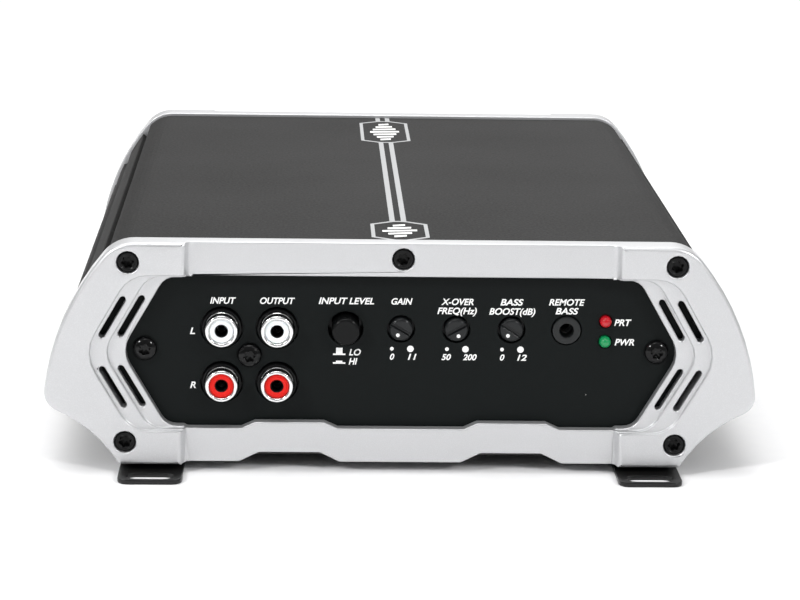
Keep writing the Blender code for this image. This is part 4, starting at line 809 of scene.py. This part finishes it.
def addControls():
    low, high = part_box("level_button")
    radius, depth = (high.x - low.x) / 2, high.y - low.y
    edge, dish = controlLook["buttonEdge"], controlLook["buttonDish"]
    profile = [(0, -dish), (radius * 0.30, -dish * 0.9), (radius * 0.60, -dish * 0.4)]
    near, far = controlLook["buttonSide"]
    stem = controlLook["buttonStem"]
    profile += curl((radius - edge, -edge), edge, 90, 0, 8) + [(radius, -near), (radius, -far), (stem, -far)]
    profile += [(stem, -depth), (0, -depth)]
    button = turnedSolid(profile, 64)
    middle = middleOf("level_button")
    button.transform(Matrix.Translation((middle.x, low.y, middle.z)) @ towardsFront)
    mesh = meshOf("levelButton", button, 40)
    addPiece("levelButton", mesh, "level_button", ["blackPlastic"], ["level_button"])

    for name, angle in controlLook["dots"].items():
        node = name + "_knob"
        low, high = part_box(node)
        knob = solidOf(node)
        softenEdges(knob, controlLook["knobEdge"], 2, 28)
        mesh = meshOf(name, knob)
        # faces deeper than the shade depth, the slot, get black plastic: painted shade in the slot, since the knob is
        # one plastic
        for face in mesh.polygons:
            face.material_index = 1 if face.center.y > low.y + controlLook["shade"] else 0
        addPiece(name + "Knob", mesh, node, ["knobPlastic", "blackPlastic"], [node])
        centre = Vector((middleOf(node).x, low.y, middleOf(node).z))
        turn = math.radians(angle)
        spot = centre + Vector((math.sin(turn), 0, -math.cos(turn))) * controlLook["dotReach"]
        dot = bmesh.new()
        around = [math.tau * step / 24 for step in range(24)]
        outline = [spot + Vector((math.cos(a), 0, math.sin(a))) * controlLook["dot"] for a in around]
        addPlate(dot, outline, (0, -controlLook["dotRise"], 0))
        addPiece(name + "Dot", meshOf(name, dot), node, ["printWhite"])

    low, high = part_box("remote_jack")
    centre = middleOf("remote_jack")
    sleeve = contactSleeve(controlLook["remoteBore"], controlLook["remoteWall"], controlLook["remoteMouth"], 48)
    rowZ = middleOf("gain_knob").z
    sleeve.transform(Matrix.Translation((centre.x, low.y, rowZ)) @ towardsFront)
    addPiece("remoteContact", meshOf("remoteContact", sleeve, 40), "case", ["tinPlate"])

    radius, depth = controlLook["lampRadius"], controlLook["lampDepth"]
    for node, finishName, slot in (("protect_led", "redLens", "red_lens"), ("power_led", "greenLens", "green_lens")):
        low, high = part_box(node)
        lamp = turnedSolid(curl((0, -radius), radius, 90, 0, 10) + [(radius, -depth), (0, -depth)], 40)
        height = high.z - controlLook["lampBelowTop"]
        lamp.transform(Matrix.Translation((middleOf(node).x, low.y, height)) @ towardsFront)
        addPiece(node.split("_")[0] + "Lamp", meshOf(node, lamp, 40), "case", [finishName], [node])


# Printing on the control panel: (words, middle x, middle z, width), in millimetres

printLook = {
    "slant": 0.24, "weight": 0.024, "thickness": 0.00003, "capHeight": 0.00172, "digitShare": 0.94,
    "symbols": ((30.35, 1.9), (28.05, 0.8)), "bar": 0.38, "barX": (-17.35, -14.2), "capX": (-16.6, -14.95),
    "dialZ": 0.0321, "dialMarks": ((-2.25, 0.48), (2.45, 0.84)),
}
panelWords = [
    ("INPUT", -45.2, 44.35, 6.5), ("OUTPUT", -31.5, 44.4, 8.8), ("INPUT LEVEL", -14.1, 44.5, 14.0),
    ("GAIN", -0.1, 44.5, 5.35), ("X-OVER", 13.95, 44.5, 8.2), ("FREQ(Hz)", 13.9, 42.2, 10.0),
    ("BASS", 27.75, 44.5, 5.85), ("BOOST(dB)", 27.9, 42.15, 11.7), ("REMOTE", 41.7, 44.6, 9.1),
    ("BASS", 41.8, 42.3, 5.85), ("PRT", 56.1, 39.4, 4.4), ("PWR", 56.7, 34.25, 5.0),
    ("L", -52.9, 36.4, 1.3), ("R", -52.8, 22.2, 1.5), ("LO", -11.8, 31.1, 3.0), ("HI", -12.25, 28.7, 2.2),
    ("0", -2.35, 30.0, 1.15), ("11", 2.75, 30.0, 2.2), ("50", 11.4, 30.0, 2.4), ("200", 17.4, 30.0, 3.5),
    ("0", 25.65, 30.0, 1.15), ("12", 30.7, 30.0, 2.45),
]
rearWords = [
    ("+12V", 26.6, 44.6, 4.6), ("REM", 37.0, 44.6, 4.6), ("GND", 47.4, 44.6, 4.6), ("FUSE", 0.0, 45.4, 5.6),
    ("L +", -21.4, 44.6, 4.0), ("L -", -31.8, 44.6, 3.6), ("R +", -42.2, 44.6, 4.0), ("R -", -52.6, 44.6, 3.6),
    ("SPEAKERS", -37.0, 48.0, 11.0), ("POWER", 37.0, 48.0, 7.0),
]


def addWord(solid, words, x, z, width, faceY, turn, capHeight):
    text = bpy.data.curves.new("word", "FONT")
    text.body = words
    text.shear = printLook["slant"]
    text.offset = printLook["weight"]
    text.align_x = "CENTER"
    holder = bpy.data.objects.new("word", text)
    scene.collection.objects.link(holder)
    bpy.context.view_layer.update()
    mesh = bpy.data.meshes.new_from_object(holder.evaluated_get(bpy.context.evaluated_depsgraph_get()))
    bpy.data.objects.remove(holder)
    across = [vertex.co.x for vertex in mesh.vertices]
    upwards = [vertex.co.y for vertex in mesh.vertices if vertex.co.y < 0.9]
    low, high = (-0.16, 0.73) if "(" in words else (min(upwards), max(upwards))
    low = 0.0 if "(" in words else low
    stretch = width / (max(across) - min(across)) * 0.001
    rise = capHeight / (high - low)
    centre = ((max(across) + min(across)) / 2, (high + low) / 2)
    fit = Matrix.Diagonal((stretch, rise, 1, 1)) @ Matrix.Translation((-centre[0], -centre[1], 0))
    mesh.transform(Matrix.Translation((x * 0.001, faceY, z * 0.001)) @ turn @ fit)
    solid.from_mesh(mesh)
    bpy.data.meshes.remove(mesh)


def thicken(solid, rise):
    faces = bmesh.ops.extrude_face_region(solid, geom=list(solid.faces))["geom"]
    bmesh.ops.translate(solid, verts=[item for item in faces if isinstance(item, bmesh.types.BMVert)], vec=rise)


def panelPrint():
    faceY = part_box("front_panel")[0].y
    words = bmesh.new()
    for text, x, z, width in panelWords:
        height = printLook["capHeight"] * (printLook["digitShare"] if text[0] in "0125" else 1.0)
        addWord(words, text, x, z, width, faceY, towardsFront, height)
    rise = (0, -printLook["thickness"], 0)
    thicken(words, rise)
    for base, lift in printLook["symbols"]:  # the two button symbols: out and in
        line = base + printLook["bar"]
        for (left, right), low, high in ((printLook["barX"], base, line), (printLook["capX"], line, base + lift)):
            outline = [(left, low), (right, low), (right, high), (left, high)]
            addPlate(words, [(u * 0.001, faceY, v * 0.001) for u, v in outline], rise)
    for knob in ("gain", "xover", "bass"):
        centre = middleOf(knob + "_knob")
        for shift, radius in printLook["dialMarks"]:
            outline = []
            for step in range(28):
                angle = math.tau * step / 28
                across, above = shift + radius * math.cos(angle), radius * math.sin(angle)
                outline.append((centre.x + across * 0.001, faceY, printLook["dialZ"] + above * 0.001))
            addPlate(words, outline, rise)
    addPiece("panelPrint", meshOf("panelPrint", words), "case", ["printWhite"], flatten=False)

    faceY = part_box("rear_panel")[1].y
    words = bmesh.new()
    for text, x, z, width in rearWords:
        addWord(words, text, x, z, width, faceY, readFromRear, printLook["capHeight"])
    thicken(words, (0, printLook["thickness"], 0))
    addPiece("rearPrint", meshOf("rearPrint", words), "case", ["printWhite"], flatten=False)


# Graphics along the top, in millimetres

stripeLook = {"lines": ((-2.7, -1.3), (0.3, 1.7)), "band": 1.0, "innerCut": 0.4, "thickness": 0.00003}
barLook = {"margin": 3.6, "shortest": 1.6, "longer": 2.9, "share": 0.30, "slant": 0.5}
badges = {
    "front": {"middle": (-0.4, -74.3), "half": (7.4, 11.3), "cut": 3.6, "bars": 5},
    "rear": {"middle": (-0.4, 64.0), "half": (7.5, 18.0), "cut": 3.4, "bars": 7},
}


def badgeOutline(middle, half, cut, level):
    x, y = middle
    a, b = half
    inset = cut * 1.6
    points = [(-a, -b + cut), (-a + inset, -b), (a - inset, -b), (a, -b + cut)]
    points += [(a, b - cut), (a - inset, b), (-a + inset, b), (-a, b - cut)]
    return [((x + u) * 0.001, (y + v) * 0.001, level) for u, v in points]


def topGraphics():
    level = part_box("heatsink")[1].z
    rise = (0, 0, stripeLook["thickness"])
    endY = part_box("heatsink")[1].y * 1000
    lines, marks = bmesh.new(), bmesh.new()
    ends = [-endY]
    for badge in badges.values():
        ends += [badge["middle"][1] - badge["half"][1], badge["middle"][1] + badge["half"][1]]
    ends.append(endY)
    spans = list(zip(ends[::2], ends[1::2]))  # the lines run between the badges
    for left, right in stripeLook["lines"]:
        for low, high in spans:
            outline = [(left, low), (right, low), (right, high), (left, high)]
            addPlate(lines, [(u * 0.001, v * 0.001, level) for u, v in outline], rise)
    for badge in badges.values():
        inner = [badge["half"][0] - stripeLook["band"], badge["half"][1] - stripeLook["band"]]
        outer = badgeOutline(badge["middle"], badge["half"], badge["cut"], level)
        inside = badgeOutline(badge["middle"], inner, badge["cut"] - stripeLook["innerCut"], level)
        addFrame(lines, outer, inside, rise)
        (x, y), count = badge["middle"], badge["bars"]  # a level meter of slanted bars
        room = (badge["half"][1] - barLook["margin"]) * 2
        thick, slant = room / count * barLook["share"], barLook["slant"]
        for index in range(count):
            v = y - room / 2 + room * (index + 0.5) / count
            reach = barLook["shortest"] + barLook["longer"] * (1 - abs(2 * index / (count - 1) - 1))
            outline = [(-reach, v - thick - slant), (reach, v - thick + slant)]
            outline += [(reach, v + thick + slant), (-reach, v + thick - slant)]
            addPlate(marks, [((x + u) * 0.001, w * 0.001, level) for u, w in outline], rise)
    addPiece("topLines", meshOf("topLines", lines), "case", ["stripeGrey"], flatten=False)
    addPiece("topMarks", meshOf("topMarks", marks), "case", ["printWhite"], flatten=False)


# Wiring side

terminalLook = {
    "pitch": 0.0104, "screwIn": 0.0036, "screwDeep": 0.0026,
    "screw": [(0, -0.0008), (0.0010, -0.0008), (0.0010, -0.0001), (0.0011, 0), (0.0020, 0), (0.0023, -0.0003),
              (0.0023, -0.003), (0, -0.003)],
    "clampIn": 0.0126, "clampZ": 0.02996, "clampHalf": 0.0031, "clampHole": 0.82, "clampDepth": 0.0050,
}
fuseLook = {"edge": 0.00035, "blade": 0.0071, "digit": 0.0030, "digitWidth": 3.6, "digitRise": 0.00004}


def wiringSide():
    screw = turnedSolid(terminalLook["screw"], 40)
    places, plates = [], []
    for node, ways in (("power_terminal_block", 3), ("speaker_terminal_block", 4)):
        low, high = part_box(node)
        centre = (low.x + high.x) / 2
        for way in range(ways):
            x = centre + (way - (ways - 1) / 2) * terminalLook["pitch"]
            places.append((x, high.y - terminalLook["screwIn"], high.z - terminalLook["screwDeep"]))
            plates.append((x, high.y - terminalLook["clampIn"], terminalLook["clampZ"]))
    mesh = repeated("terminalScrews", screw, places, (0, 0, 1), 3.0, 21, "brass", 28)
    addPiece("terminalScrews", mesh, "case", ["brass"])
    clamp = bmesh.new()
    half, hole = terminalLook["clampHalf"], terminalLook["clampHole"]
    outer = [(-half, 0, -half), (half, 0, -half), (half, 0, half), (-half, 0, half)]
    inner = [(u * hole, v, w * hole) for u, v, w in outer]
    addFrame(clamp, outer, inner, (0, terminalLook["clampDepth"], 0))
    mesh = repeated("terminalClamps", clamp, plates, (0, 1, 0), 0.0, 1, "brass", 28)
    addPiece("terminalClamps", mesh, "case", ["brass"])

    for node in ("fuse_1", "fuse_2"):
        solid = solidOf(node)
        softenEdges(solid, fuseLook["edge"], 2, 28)
        low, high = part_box(node)
        bladeEnd = low.y + fuseLook["blade"]
        mesh = meshOf(node, solid)
        for face in mesh.polygons:
            face.material_index = 1 if face.center.y < bladeEnd else 0
        name = node.replace("_", "")
        addPiece(name, mesh, node, ["fuseAmber", "tinPlate"], [node])
        digits = bmesh.new()
        x, _, z = middleOf(node) * 1000
        addWord(digits, "30", x, z, fuseLook["digitWidth"], high.y, readFromRear, fuseLook["digit"])
        thicken(digits, (0, fuseLook["digitRise"], 0))
        addPiece(name + "Digits", meshOf(node, digits), node, ["printWhite"], flatten=False)


# CAD nodes that stay as they are

keptFinishes = {
    "level_switch": "blackPlastic", "gain_potentiometer": "blackPlastic", "xover_potentiometer": "blackPlastic",
    "bass_potentiometer": "blackPlastic", "main_board": "boardGreen", "power_toroid": "copperWire",
    "supply_capacitor_1": "sleeveBlue", "supply_capacitor_2": "sleeveBlue",
    "transistor_row_left": "blackPlastic", "transistor_row_right": "blackPlastic",
}


def keepNodes():
    for node, finishName in keptFinishes.items():
        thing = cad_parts[node]
        for index in range(len(thing.material_slots)):
            thing.material_slots[index].material = finishes[finishName]


def addFloor():
    half = floorSetup["half"]
    slab = bmesh.new()
    addPlate(slab, [(-half, -half, -0.02), (half, -half, -0.02), (half, half, -0.02), (-half, half, -0.02)], (0, 0, 0.02))
    surface = Surface("floor", {"Specular IOR Level": 0.2})
    grain = surface.noise(260, 3.0)
    surface.drive("Base Color", surface.blend(grain, floorSetup["tint"], floorSetup["colour"]))
    surface.drive("Roughness", 0.72 + grain * 0.1)
    mesh = meshOf("floor", slab)
    mesh.materials.append(surface.material)
    floor = bpy.data.objects.new("floor", mesh)
    scene.collection.objects.link(floor)


addCamera()
addLights()
addFloor()
scene.view_settings.view_transform = "Standard"
print("camera, floor and light ready")
finishes = makeFinishes()
repeatPiece, repeatSockets = repeatTree()
drawExtrusion, extrusionSockets = extrusionTree()
print("finishes and trees ready")
endCap("frontCap", "front_end_cap")
endCap("rearCap", "rear_end_cap")
coolingBody()
softenedParts()
print("body, caps, panels and feet ready")
addScrews()
phonoJacks()
addControls()
print("screws, jacks and controls ready")
panelPrint()
topGraphics()
print("printing ready")
wiringSide()
keepNodes()
print("wiring side ready")
